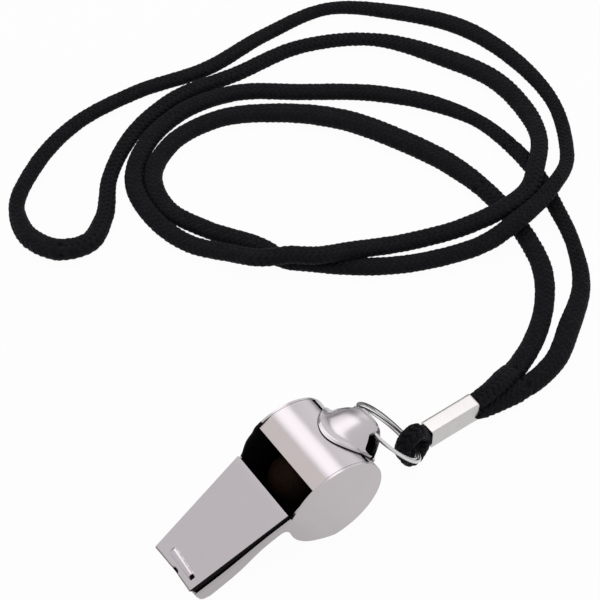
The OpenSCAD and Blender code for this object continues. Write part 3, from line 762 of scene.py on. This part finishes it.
def lay_cord(name, node, run, seed, rides=None, flat=True):
    """One stretch of the cord, which rides on a body, or else stays where it is laid, with its transform
    baked in.
    """
    line = [tuple(place) for place, _, _ in run]
    piece = braided(name, run, seed, flat)
    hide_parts(node)
    if rides:
        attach(piece, rides)
    else:
        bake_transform(piece)
    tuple(line[0])
    run_length(run)


def make_cords():
    lay_cord("bight_braid", "ring_bight", bight_run(), 5, flat=False)
    for name, node, points, seed in (
        ("lead_right_braid", "cord_lead_right", LEAD_RIGHT, 7),
        ("lead_left_braid", "cord_lead_left", LEAD_LEFT, 9),
    ):
        run = free_run(points)
        lay_cord(name, node, run, seed)
    for name, node, points, seed in (
        ("neck_right_braid", "neck_cord_right", NECK_RIGHT, 11),
        ("neck_left_braid", "neck_cord_left", NECK_LEFT, 13),
    ):
        lay_cord(name, node, free_run(points), seed, rides="whistle")


make_cords()


# Sheet metal helpers


def spread(start, end, count):
    return [start + (end - start) * k / count for k in range(count + 1)]


def arc(r, start, end, step=1.5):
    """Points on a circle, from one angle to another."""
    count = max(1, round(abs(end - start) / step))
    angles = [math.radians(angle) for angle in spread(start, end, count)]
    return [(r * math.cos(a), r * math.sin(a)) for a in angles]


def lip_arc(r, start, end):
    """Points round the mouthpiece's lip."""
    return [(LIP_X + x, LIP_Z + z) for x, z in arc(r, start, end, 9)]


def ramp(value, start, end):
    """Smooth share from 0 at the start to 1 at the end."""
    t = min(max((value - start) / (end - start), 0.0), 1.0)
    return t * t * (3 - 2 * t)


def make_piece(name, verts, faces, materials, marks, crisp=12.0, bevel=0.0):
    """A closed mesh piece. marks gives each face's material, and bevel breaks its sharp edges."""
    mesh = bpy.data.meshes.new(name)
    mesh.from_pydata([tuple(v) for v in verts], [], faces)
    for material in materials:
        mesh.materials.append(material)
    mesh.polygons.foreach_set("material_index", marks)
    shape = bmesh.new()
    shape.from_mesh(mesh)
    bmesh.ops.remove_doubles(shape, verts=shape.verts, dist=1e-8)
    bmesh.ops.recalc_face_normals(shape, faces=shape.faces)
    shape.to_mesh(mesh)
    shape.free()
    mesh.shade_smooth()
    piece = new_piece(name, mesh)
    if bevel:
        edges = piece.modifiers.new("edges", "BEVEL")
        edges.width = bevel
        edges.segments = 2
        edges.limit_method = "ANGLE"
        edges.angle_limit = math.radians(40)
        mesh = finished_mesh(piece)
        piece.modifiers.clear()
        piece.data = mesh
    piece.data.set_sharp_from_angle(angle=math.radians(crisp))
    return piece


def stands_for(piece, body, node):
    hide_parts(node)
    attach(piece, body)


def sheet_faces(runs, across, mark, near, far):
    """Faces and marks of a sheet between a grid of outer and one of inner points, (runs + 1) by
    (across + 1) each. mark gives an outer face's material, and near and far those of the long edges."""
    row = across + 1
    half = (runs + 1) * row
    faces, marks = [], []
    for i in range(runs):
        for j in range(across):
            a = i * row + j
            b = half + a
            faces += [(a, a + 1, a + row + 1, a + row), (b, b + row, b + row + 1, b + 1)]
            marks += [mark(i, j), 1]
        for j, edge in ((0, near), (across, far)):
            a = i * row + j
            faces.append((a, a + row, half + a + row, half + a))
            marks.append(edge)
    for i in (0, runs):
        for a in range(i * row, i * row + across):
            faces.append((a, a + 1, half + a + 1, half + a))
            marks.append(0)
    return faces, marks


def cover_half(x):
    return MOUTH_HALF + (COVER_HALF - MOUTH_HALF) * (x - MOUTH_X) / (COVER_X - MOUTH_X)


def room_half(x):
    """Half width between the side plates at a place along the whistle."""
    if x >= FOLD_X:
        return PLATE_IN
    if x >= COVER_X:
        share = (x - COVER_X) / (FOLD_X - COVER_X)
        return COVER_HALF + GAP + share * (PLATE_IN - COVER_HALF - GAP)
    return cover_half(x) + GAP


def cheek_top(x):
    """Height of a side plate's top edge, which falls towards the mouth."""
    return CHEEK_Z - CHEEK_FALL * ramp(x, FALL_FROM, FALL_TO)


def prism(name, outline, marks, margin, materials, bevel, node):
    """A piece with one outline across the whistle, that keeps a margin to the side plates."""
    count = len(outline)
    verts = [own(x, side * (room_half(x) - margin), z) for side in (-1, 1) for x, z in outline]
    faces = [(k, (k + 1) % count, (k + 1) % count + count, k + count) for k in range(count)]
    faces += [tuple(range(count)), tuple(range(2 * count - 1, count - 1, -1))]
    piece = make_piece(name, verts, faces, materials, marks + [0, 0], bevel=bevel)
    stands_for(piece, "whistle", node)


# Whistle body


def dented(x, z):
    """The left disc is pressed in a little beside the sound window."""
    angle = math.degrees(math.atan2(z, x))
    dent = ramp(angle, DENT_FROM, DENT_FROM + DENT_SLOPE) * ramp(angle, DENT_TO, DENT_TO - DENT_SLOPE)
    share = 1 - DENT_DEEP * dent
    return x * share, z * share


def side_plate(name, side, node):
    """Disc of the drum with its cheek of the mouthpiece, folded in towards the mouth."""
    top = math.degrees(math.acos(-math.sqrt(DRUM_R**2 - CHEEK_Z**2) / DRUM_R))
    outline = arc(DRUM_R, BELLY_ROOT, top + 360)
    if side > 0:
        outline = [dented(x, z) for x, z in outline]
    outline += [(x, cheek_top(x)) for x in spread(COVER_X - 0.0006, MOUTH_X, 12)]
    outline += lip_arc(LIP_R, LIP_START, LIP_END)
    outline += BELLY[::-1]
    shape = bmesh.new()
    shape.faces.new([shape.verts.new((x, 0, z)) for x, z in outline])
    for x in (FOLD_X, COVER_X, (FOLD_X + COVER_X) / 2):
        everything = shape.verts[:] + shape.edges[:] + shape.faces[:]
        bmesh.ops.bisect_plane(shape, geom=everything, plane_co=(x, 0, 0), plane_no=(1, 0, 0))
    # The plate's inner face, and on the left plate its faces at the sound window, are near-black: painted
    # shade
    for face in shape.faces:
        face.material_index = 1
    grown = bmesh.ops.extrude_face_region(shape, geom=shape.faces[:])["geom"]
    outer = {part for part in grown if isinstance(part, bmesh.types.BMVert)}
    for face in shape.faces:
        if any(v in outer for v in face.verts):
            at_window = len(face.verts) == 4 and all(COVER_X < v.co.x < 0 < v.co.z for v in face.verts)
            face.material_index = 1 if at_window and side > 0 else 0
    for v in shape.verts:
        y = side * (room_half(v.co.x) + (PLATE_T if v in outer else 0))
        brim = v in outer and v.co.x < COVER_X - 0.0003 and v.co.z > cheek_top(v.co.x) - 0.0001
        v.co = own(v.co.x, y, v.co.z - (BRIM_LOW if brim else 0))
    verts = [v.co.copy() for v in shape.verts]
    shape.verts.index_update()
    faces = [tuple(v.index for v in face.verts) for face in shape.faces]
    marks = [face.material_index for face in shape.faces]
    shape.free()
    piece = make_piece(name, verts, faces, [DISC, SHADE_BLACK], marks, bevel=0.00015)
    stands_for(piece, "whistle", node)


def upper_band():
    """Roof of the drum, the flat strip and the blowing edge."""
    crease = math.degrees(math.acos(CREASE_X / DRUM_R))
    outer = arc(DRUM_R, SEAM, crease)
    inner = arc(BAND_IN, crease, SEAM)
    tip = [(EDGE_X, EDGE_Z), (EDGE_X, EDGE_Z - EDGE_T), (EDGE_X + 3 * BAND_T, EDGE_Z - BAND_T * 0.8)]
    # The blowing edge's underside and the band's inside are near-black: painted shade
    marks = [0] * (len(outer) - 1) + [1, 1, 2, 2] + [2] * (len(inner) - 1) + [0]
    outline = outer + tip + inner
    prism("roof_band", outline, marks, GAP, [NICKEL, STRIP, SHADE_BLACK], 0.00004, "upper_band")


def lower_band():
    """Underside of the drum, belly, lip and front wall of the mouthpiece, and the lap under the seam."""
    root = BELLY_ROOT - 360
    wall_top = FLOOR_Z - COVER_T - GAP
    outer = arc(DRUM_R, SEAM_LOW, root) + list(BELLY) + lip_arc(LIP_R, LIP_END, LIP_START)
    outer.append((MOUTH_X, wall_top))
    inner = [(MOUTH_X + BAND_T, wall_top)] + lip_arc(LIP_R - BAND_T, LIP_START, LIP_END)
    inner += [(x, z + BAND_T) for x, z in BELLY[:2:-1]]
    inner += arc(BAND_IN, root - 6, SEAM_LOW - LAP_SWEEP)
    lap = arc(LAP_IN, SEAM_LOW - LAP_SWEEP, SEAM + LAP_SWEEP)
    lap += arc(LAP_IN + LAP_T, SEAM + LAP_SWEEP, SEAM_LOW)
    # The band's inside and the lap under the seam are near-black: painted shade
    marks = [0] * len(outer) + [1] * (len(inner) + len(lap))
    outline = outer + inner + lap
    prism("belly_band", outline, marks, GAP, [NICKEL, SHADE_BLACK], 0.00004, "lower_band")


def windway_floor():
    """Plate inside the mouthpiece, with its ramp towards the blowing edge."""
    ramp_x, end_x = COVER_X - RAMP_L, COVER_X - COVER_T
    low = FLOOR_Z - COVER_T
    outline = [
        (MOUTH_X, FLOOR_Z), (MOUTH_X, low), (ramp_x, low), (end_x, low + RAMP_RISE),
        (end_x, FLOOR_Z + RAMP_RISE), (ramp_x, FLOOR_Z),
    ]
    # All its long faces are near-black: painted shade inside the mouthpiece
    marks = [1] * len(outline)
    margin = 2 * GAP + COVER_T
    prism("windway_plate", outline, marks, margin, [NICKEL, SHADE_BLACK], 0.00003, "windway_floor")


def bead_rear(y):
    return BEAD_REAR + (BEAD_LEFT - y) * BEAD_SKEW


def in_pit(u, y):
    return BEAD_RIGHT - PIT_L < y < BEAD_RIGHT and bead_rear(y) + 0.0002 < u < BEAD_FRONT - 0.0001


def cover_rise(x, y):
    """Height over the cover's plane: the pressed bead, the pit at its right end, the dent at the nick."""
    u = -x
    if in_pit(u, y):
        return -PIT_DEEP
    t = min(max((u - bead_rear(y)) / (BEAD_FRONT - bead_rear(y)), 0.0), 1.0)
    bar = math.sin(math.pi * t) ** 0.7
    ends = ramp(y, BEAD_LEFT + 0.0003, BEAD_LEFT - 0.0004) * ramp(y, BEAD_RIGHT - 0.0001, BEAD_RIGHT + 0.0001)
    dent = ramp(u, DENT_U, DENT_U + DENT_L) * ramp(abs(y - NICK_Y), 1.9 * NICK_HALF, 0)
    return BEAD_H * bar * ends - NICK_DENT * dent


def mouthpiece_cover():
    """Tapered top plate with its bead, and the recessed skirts down its sides."""
    places = spread(COVER_X, FINE_X, 10)[:-1] + spread(FINE_X, MOUTH_X, 46)
    columns = 120
    tops, bottoms = [], []
    for x in places:
        for c in range(columns + 1):
            y = cover_half(x) * (2 * c / columns - 1)
            hollow = HOLLOW * (1 - (y / MOUTH_HALF) ** 2)
            nick = NICK_DEEP * ramp(1.4 * (1 - abs(y - NICK_Y) / NICK_HALF), 0, 1)
            pull = ramp(x, PULL_X, MOUTH_X) * (hollow + nick)
            tuck = TUCK * ramp(x, MOUTH_X + TUCK_L + 0.00002, MOUTH_X + 0.00002)
            tops.append(own(x + pull, y, COVER_Z + cover_rise(x, y) - tuck))
            bottoms.append(own(x + pull, y, COVER_Z - COVER_T))

    # The bead's pit is near-black, painted shade, and the front edge dark grey, a painted dark reflection
    def mark(i, c):
        x = (places[i] + places[i + 1]) / 2
        y = cover_half(x) * ((2 * c + 1) / columns - 1)
        return 1 if in_pit(-x, y) else 2 if x < MOUTH_X + DARK_REFLECTION_L else 0

    verts = tops + bottoms
    # The plate's underside and its long edges are near-black: painted shade
    faces, marks = sheet_faces(len(places) - 1, columns, mark, 1, 1)
    # The skirts are near-black all over: painted shade in the gap beside the cheeks
    for side in (-1, 1):
        start = len(verts)
        for x in (COVER_X - COVER_T, MOUTH_X + 0.0004):
            for inset in (SKIRT_IN, SKIRT_IN + COVER_T):
                for z in (SKIRT_Z, COVER_Z - COVER_T / 2):
                    verts.append(own(x, side * (cover_half(x) - inset), z))
        for box in ((0, 1, 3, 2), (4, 5, 7, 6), (0, 1, 5, 4), (2, 3, 7, 6), (0, 2, 6, 4), (1, 3, 7, 5)):
            faces.append(tuple(start + k for k in box))
            marks.append(1)
    piece = make_piece("mouth_cover", verts, faces, [NICKEL, SHADE_BLACK, DARK_REFLECTION], marks, crisp=32, bevel=0.00005)
    stands_for(piece, "whistle", "mouthpiece_cover")


# Lug


def lug_point(r, y, z):
    """Row-frame point of a point in the lug's frame."""
    c, s = math.cos(LUG_ANGLE), math.sin(LUG_ANGLE)
    return own(r * c - z * s, LUG_Y + y, r * s + z * c)


def dome_rise(y, z, inset):
    """Rise of the dome over the flange: round at the crown, with a hollow foot all round."""
    off = y - DOME_SHIFT
    power = 2.0 if off > 0 else 1.6
    rho = (abs(off) / (DOME_HALF - inset)) ** power + (abs(z) / (DOME_REACH - inset)) ** power
    rise = (DOME_H - inset) * (1 - rho ** (3 / power))
    foot = FOOT * (1 - 0.75 * ramp(abs(off), 0.0035, 0.0065))
    return (rise + math.hypot(rise, foot)) / 2


def split_edge(y, wide):
    """Half gap between the cups: narrow at the crown, wide at the ring's two openings."""
    off = abs(y)
    slot = SPLIT_HALF + SLOT_MORE * ramp(off, SLOT_FROM, SLOT_TO)
    opening = ramp(off, OPEN_FROM, OPEN_FROM + OPEN_STEP) * ramp(off, OPEN_TO, OPEN_TO - OPEN_SLOPE)
    return slot + (wide - slot) * opening


def lug_cup(name, side, wide, node):
    """One cup of the lug, on its side of the split, with the flange it is soldered down by."""
    rows, columns = 44, 130
    lower = side < 0

    def column_y(i):
        return FLANGE_SHIFT + FLANGE_HALF * math.sin(math.radians(FLANGE_SWEEP * (2 * i / columns - 1)))

    outer, inner = [], []
    for i in range(columns + 1):
        y = column_y(i)
        far = FLANGE_REACH * math.cos(math.radians(FLANGE_SWEEP * (2 * i / columns - 1)))
        near = min(split_edge(y, wide), far * 0.95)
        lip = LIP_RISE * ramp(y, LIP_FROM, LIP_FROM + LIP_SLOPE) * ramp(y, LIP_TO, LIP_TO - LIP_SLOPE)
        lean = LEAN * ramp(abs(y), OPEN_FROM, OPEN_FROM + LEAN_STEP) if lower else 0.0
        for j in range(rows + 1):
            z = near + (far - near) * j / rows
            deep = z + (lean if near + lean < far else 0) * (1 - j / rows)
            c = math.sqrt(1 - (z / SEAT_R) ** 2)
            rim = FLANGE_T - (FLANGE_T - FLANGE_RIM) * ramp(j / rows, 0.93, 1)
            rise, hollow = dome_rise(y, z, 0.0), dome_rise(y, deep, LUG_T)
            if lower:
                rise += lip * ramp(z - near, LIP_L, 0)
            else:
                reach = (y - DIMPLE[0]) ** 2 + (z - DIMPLE[1]) ** 2
                rise -= DIMPLE_DEEP * math.exp(-reach / DIMPLE_R**2)
            outer.append(lug_point((SEAT_R + rim) * c + rise, y, side * z * (1 + rim / SEAT_R)))
            inner.append(lug_point(math.sqrt(SEAT_R**2 - deep**2) + hollow, y, side * deep))

    def mark(i, j):
        """Painted shade along the split's left stretch: near-black on the lower cup, dark grey on the upper.
        """
        count, start, end = DARK_LOWER if lower else DARK_UPPER
        dark = j < count and start < column_y(i + 0.5) < end
        return dark * (1 if lower else 2)

    # The flange's rim is dark grey and the cup's inside near-black: painted shade
    faces, marks = sheet_faces(columns, rows, mark, 0, 2)
    piece = make_piece(name, outer + inner, faces, [NICKEL, SHADE_BLACK, SHADE_LINE], marks, crisp=38)
    stands_for(piece, "whistle", node)


# Pea, ring and ferrule


def cork_pea():
    """Rolled cork ball with a grain and pits."""
    shape = bmesh.new()
    bmesh.ops.create_icosphere(shape, subdivisions=5, radius=PEA_R)
    middle = on_floor(*PEA_AT)
    for v in shape.verts:
        way = v.co.normalized()
        pits = max(0.0, noise.noise(way * 9) - 0.25) * PIT_SIZE
        v.co = middle + v.co + way * (GRAIN_SIZE * noise.noise(way * 22) - PEA_LESS - pits)
    mesh = bpy.data.meshes.new("cork_ball")
    shape.to_mesh(mesh)
    shape.free()
    mesh.materials.append(CORK)
    mesh.shade_smooth()
    stands_for(new_piece("cork_ball", mesh), "pea", "cork_pea")


def wire_tube(name, path, outs, shaded_tops):
    """A closed round wire along a path, with one sideways direction for each point. The last argument tells
    of each point whether its upper flank is painted dark too, as its lower flank is: painted shade."""
    sides = 24
    verts = []
    for k, (place, out) in enumerate(zip(path, outs)):
        along = (path[min(k + 1, len(path) - 1)] - path[max(k - 1, 0)]).normalized()
        up = along.cross(out).normalized()
        for c in range(sides):
            a = 2 * math.pi * c / sides
            verts.append(place + WIRE_R * (math.cos(a) * out + math.sin(a) * up))
    marks = []
    for shaded_top in shaded_tops[:-1]:
        for c in range(sides):
            flank = math.sin(2 * math.pi * (c + 0.5) / sides)
            marks.append(1 if flank < -0.6 or (shaded_top and flank > 0.5) else 0)
    return make_piece(name, verts, tube_faces(len(path), sides), [WIRE, SHADE_LINE], marks + [0, 0], crisp=50)


def split_ring():
    """Two turns of wire, close together on the right and sprung apart on the left."""
    down = Vector((math.cos(RING_SLOPE), 0, -math.sin(RING_SLOPE)))
    right = Vector((0, -1, 0))
    axle = Vector((math.sin(RING_SLOPE), 0, math.cos(RING_SLOPE)))
    middle = on_floor(*FAR_WIRE) - RING_R * down
    path, outs, shaded_tops = [], [], []
    for degrees in range(RING_START, RING_END, RING_STEP):
        a = math.radians(degrees)
        out = math.cos(a) * down + math.sin(a) * right
        apart = TURN_GAP - TURN_SPRING * math.sin(a)
        nested = math.sqrt(max(0.0, (2.05 * WIRE_R) ** 2 - apart**2))
        share = 0.5 - ramp(degrees, CROSS_FROM, CROSS_TO)
        path.append(middle + (RING_R + nested * share) * out + apart * share * axle)
        outs.append(out)
        # On the ring's far half the wire's upper flank is painted dark too: painted shade
        shaded_tops.append(math.sin(a) < 0)
    stands_for(wire_tube("ring_turns", path, outs, shaded_tops), "ring", "split_ring")


def sleeve_outline(inset):
    """Section of the ferrule: a folded box, round at its upper left edge, with a butt seam on its left."""
    w, h = FERRULE_W / 2 - inset, FERRULE_H / 2 - inset
    points = []
    for sy, sz, start in ((1, 1, 0), (-1, 1, 90), (-1, -1, 180), (1, -1, 270)):
        r = max((FERRULE_CORNER if start else FERRULE_ROUND) - inset, 0.0001)
        points += [(sy * (w - r) + y, sz * (h - r) + z) for y, z in arc(r, start, start + 90, 11.25)]
    dip = 0.0 if inset else SEAM_DIP
    points += [(w, -SEAM_HALF), (w - dip, -SEAM_HALF / 2), (w - dip, SEAM_HALF / 2), (w, SEAM_HALF)]
    return points


def ferrule():
    """Crimped sleeve, pinched along its middle, flared and bitten at its rear end."""
    stations = 40
    verts = []
    outlines = [sleeve_outline(0.0), sleeve_outline(FERRULE_T)]
    count = len(outlines[0])
    for outline in outlines:
        for t in spread(0, 1, stations):
            for y, z in outline:
                middle = math.cos(math.pi * z / FERRULE_H)
                bite = ramp(y, 0, -FERRULE_W / 2) * middle
                x = FERRULE_X + t * (FERRULE_END - FERRULE_X)
                x += bite * (BITE_FRONT * ramp(t, 0.2, 0) - BITE_REAR * ramp(t, 0.75, 1))
                pinch = 1 - PINCH * math.sin(math.pi * t) * middle
                flare = 1 + FLARE * ramp(t, 0.85, 1)
                verts.append(on_floor(x, FERRULE_Y + y * pinch * flare, FERRULE_H / 2 + z))
    faces, marks = [], []
    half = count * (stations + 1)
    for k in range(stations):
        for c in range(count):
            a, b = k * count + c, k * count + (c + 1) % count
            faces += [(a, b, b + count, a + count), (half + a, half + a + count, half + b + count, half + b)]
            # The seam's dip and the sleeve's inside are near-black: painted shade
            marks += [1 if count - 4 <= c < count - 1 else 0, 1]
    for k in (0, stations):
        for c in range(count):
            a, b = k * count + c, k * count + (c + 1) % count
            faces.append((a, b, half + b, half + a))
            marks.append(0)
    piece = make_piece("crimped_sleeve", verts, faces, [SLEEVE, SHADE_BLACK], marks, crisp=25, bevel=0.00006)
    stands_for(piece, "clip", "ferrule")


side_plate("left_side", 1, "side_plate_left")
side_plate("right_side", -1, "side_plate_right")
upper_band()
lower_band()
windway_floor()
mouthpiece_cover()
lug_cup("upper_cup", 1, UPPER_OPEN, "lug_upper")
lug_cup("lower_cup", -1, LOWER_OPEN, "lug_lower")
cork_pea()
split_ring()
ferrule()


# Floor, world and lamps


def seen_ray(tree):
    """1 for rays of the camera and of reflections and glass."""
    path = node_of(tree, "ShaderNodeLightPath").outputs
    first = math_of(tree, "MAXIMUM", path["Is Camera Ray"], path["Is Glossy Ray"])
    return math_of(tree, "MAXIMUM", first, path["Is Transmission Ray"])


def make_floor():
    """Pale floor that keeps a faint shadow: most of what the camera sees of it is plain white."""
    material = bpy.data.materials.new("pale_floor")
    material.use_nodes = True
    tree = material.node_tree
    tree.nodes.clear()
    white_share = math_of(tree, "MULTIPLY", seen_ray(tree), 0.96)
    cloth = node_of(tree, "ShaderNodeBsdfDiffuse", Color=(0.86, 0.86, 0.86, 1)).outputs[0]
    white = node_of(tree, "ShaderNodeEmission", Color=(1, 1, 1, 1), Strength=1.0).outputs[0]
    surface = node_of(tree, "ShaderNodeMixShader", white_share, cloth, white).outputs[0]
    node_of(tree, "ShaderNodeOutputMaterial", Surface=surface)
    mesh = bpy.data.meshes.new("floor")
    s = 3.0
    mesh.from_pydata([(-s, -s, 0), (s, -s, 0), (s, s, 0), (-s, s, 0)], [], [(0, 1, 2, 3)])
    mesh.materials.append(material)
    floor = new_piece("floor", mesh)
    floor.location.z = -0.00002


def make_world():
    """White for every seen ray, with one soft dim patch of the studio behind that edges of metal pick up."""
    world = bpy.data.worlds.new("studio")
    bpy.context.scene.world = world
    world.use_nodes = True
    tree = world.node_tree
    tree.nodes.clear()
    place = node_of(tree, "ShaderNodeTexCoord").outputs["Generated"]
    behind = Vector((0.36, 0.91, 0.2)).normalized()
    toward = node_of(tree, "ShaderNodeVectorMath", place, behind, operation="DOT_PRODUCT").outputs["Value"]
    dim = node_of(
        tree, "ShaderNodeMapRange", interpolation_type="SMOOTHSTEP", Value=toward,
        From_Min=math.cos(math.radians(40)), From_Max=math.cos(math.radians(22)), To_Max=0.6,
    ).outputs["Result"]
    glossy = node_of(tree, "ShaderNodeLightPath").outputs["Is Glossy Ray"]
    level = math_of(tree, "SUBTRACT", 1.0, math_of(tree, "MULTIPLY", glossy, dim))
    white = node_of(tree, "ShaderNodeBackground", Color=(1, 1, 1, 1), Strength=level).outputs[0]
    soft = node_of(tree, "ShaderNodeBackground", Color=(1, 1, 1, 1), Strength=0.55).outputs[0]
    surface = node_of(tree, "ShaderNodeMixShader", seen_ray(tree), soft, white).outputs[0]
    node_of(tree, "ShaderNodeOutputWorld", Surface=surface)


def softbox(name, direction, distance, wide, tall, radiance, across=(1, 0, 0)):
    """A soft lamp that faces the whistle from a direction, its wide side along across. radiance 1 adds as
    much as a white wall."""
    data = bpy.data.lights.new(name, "AREA")
    data.shape = "RECTANGLE"
    data.size, data.size_y = wide, tall
    data.energy = radiance * math.pi * wide * tall
    lamp = new_piece(name, data)
    z = Vector(direction).normalized()
    x = (Vector(across) - Vector(across).dot(z) * z).normalized()
    place = Vector((0.004, 0, 0.01)) + z * distance
    lamp.matrix_world = Matrix.Translation(place) @ Matrix((x, z.cross(x), z)).transposed().to_4x4()


make_floor()
make_world()
softbox("band_light", (0.274, 0.506, 0.818), 0.6, 0.34, 0.7, 1.12, across=(-0.94, 0, 0.33))
softbox("rear_light", (0.86, 0.5, 0.3), 0.7, 0.4, 0.5, 0.3)
bpy.context.scene.view_settings.view_transform = "Standard"
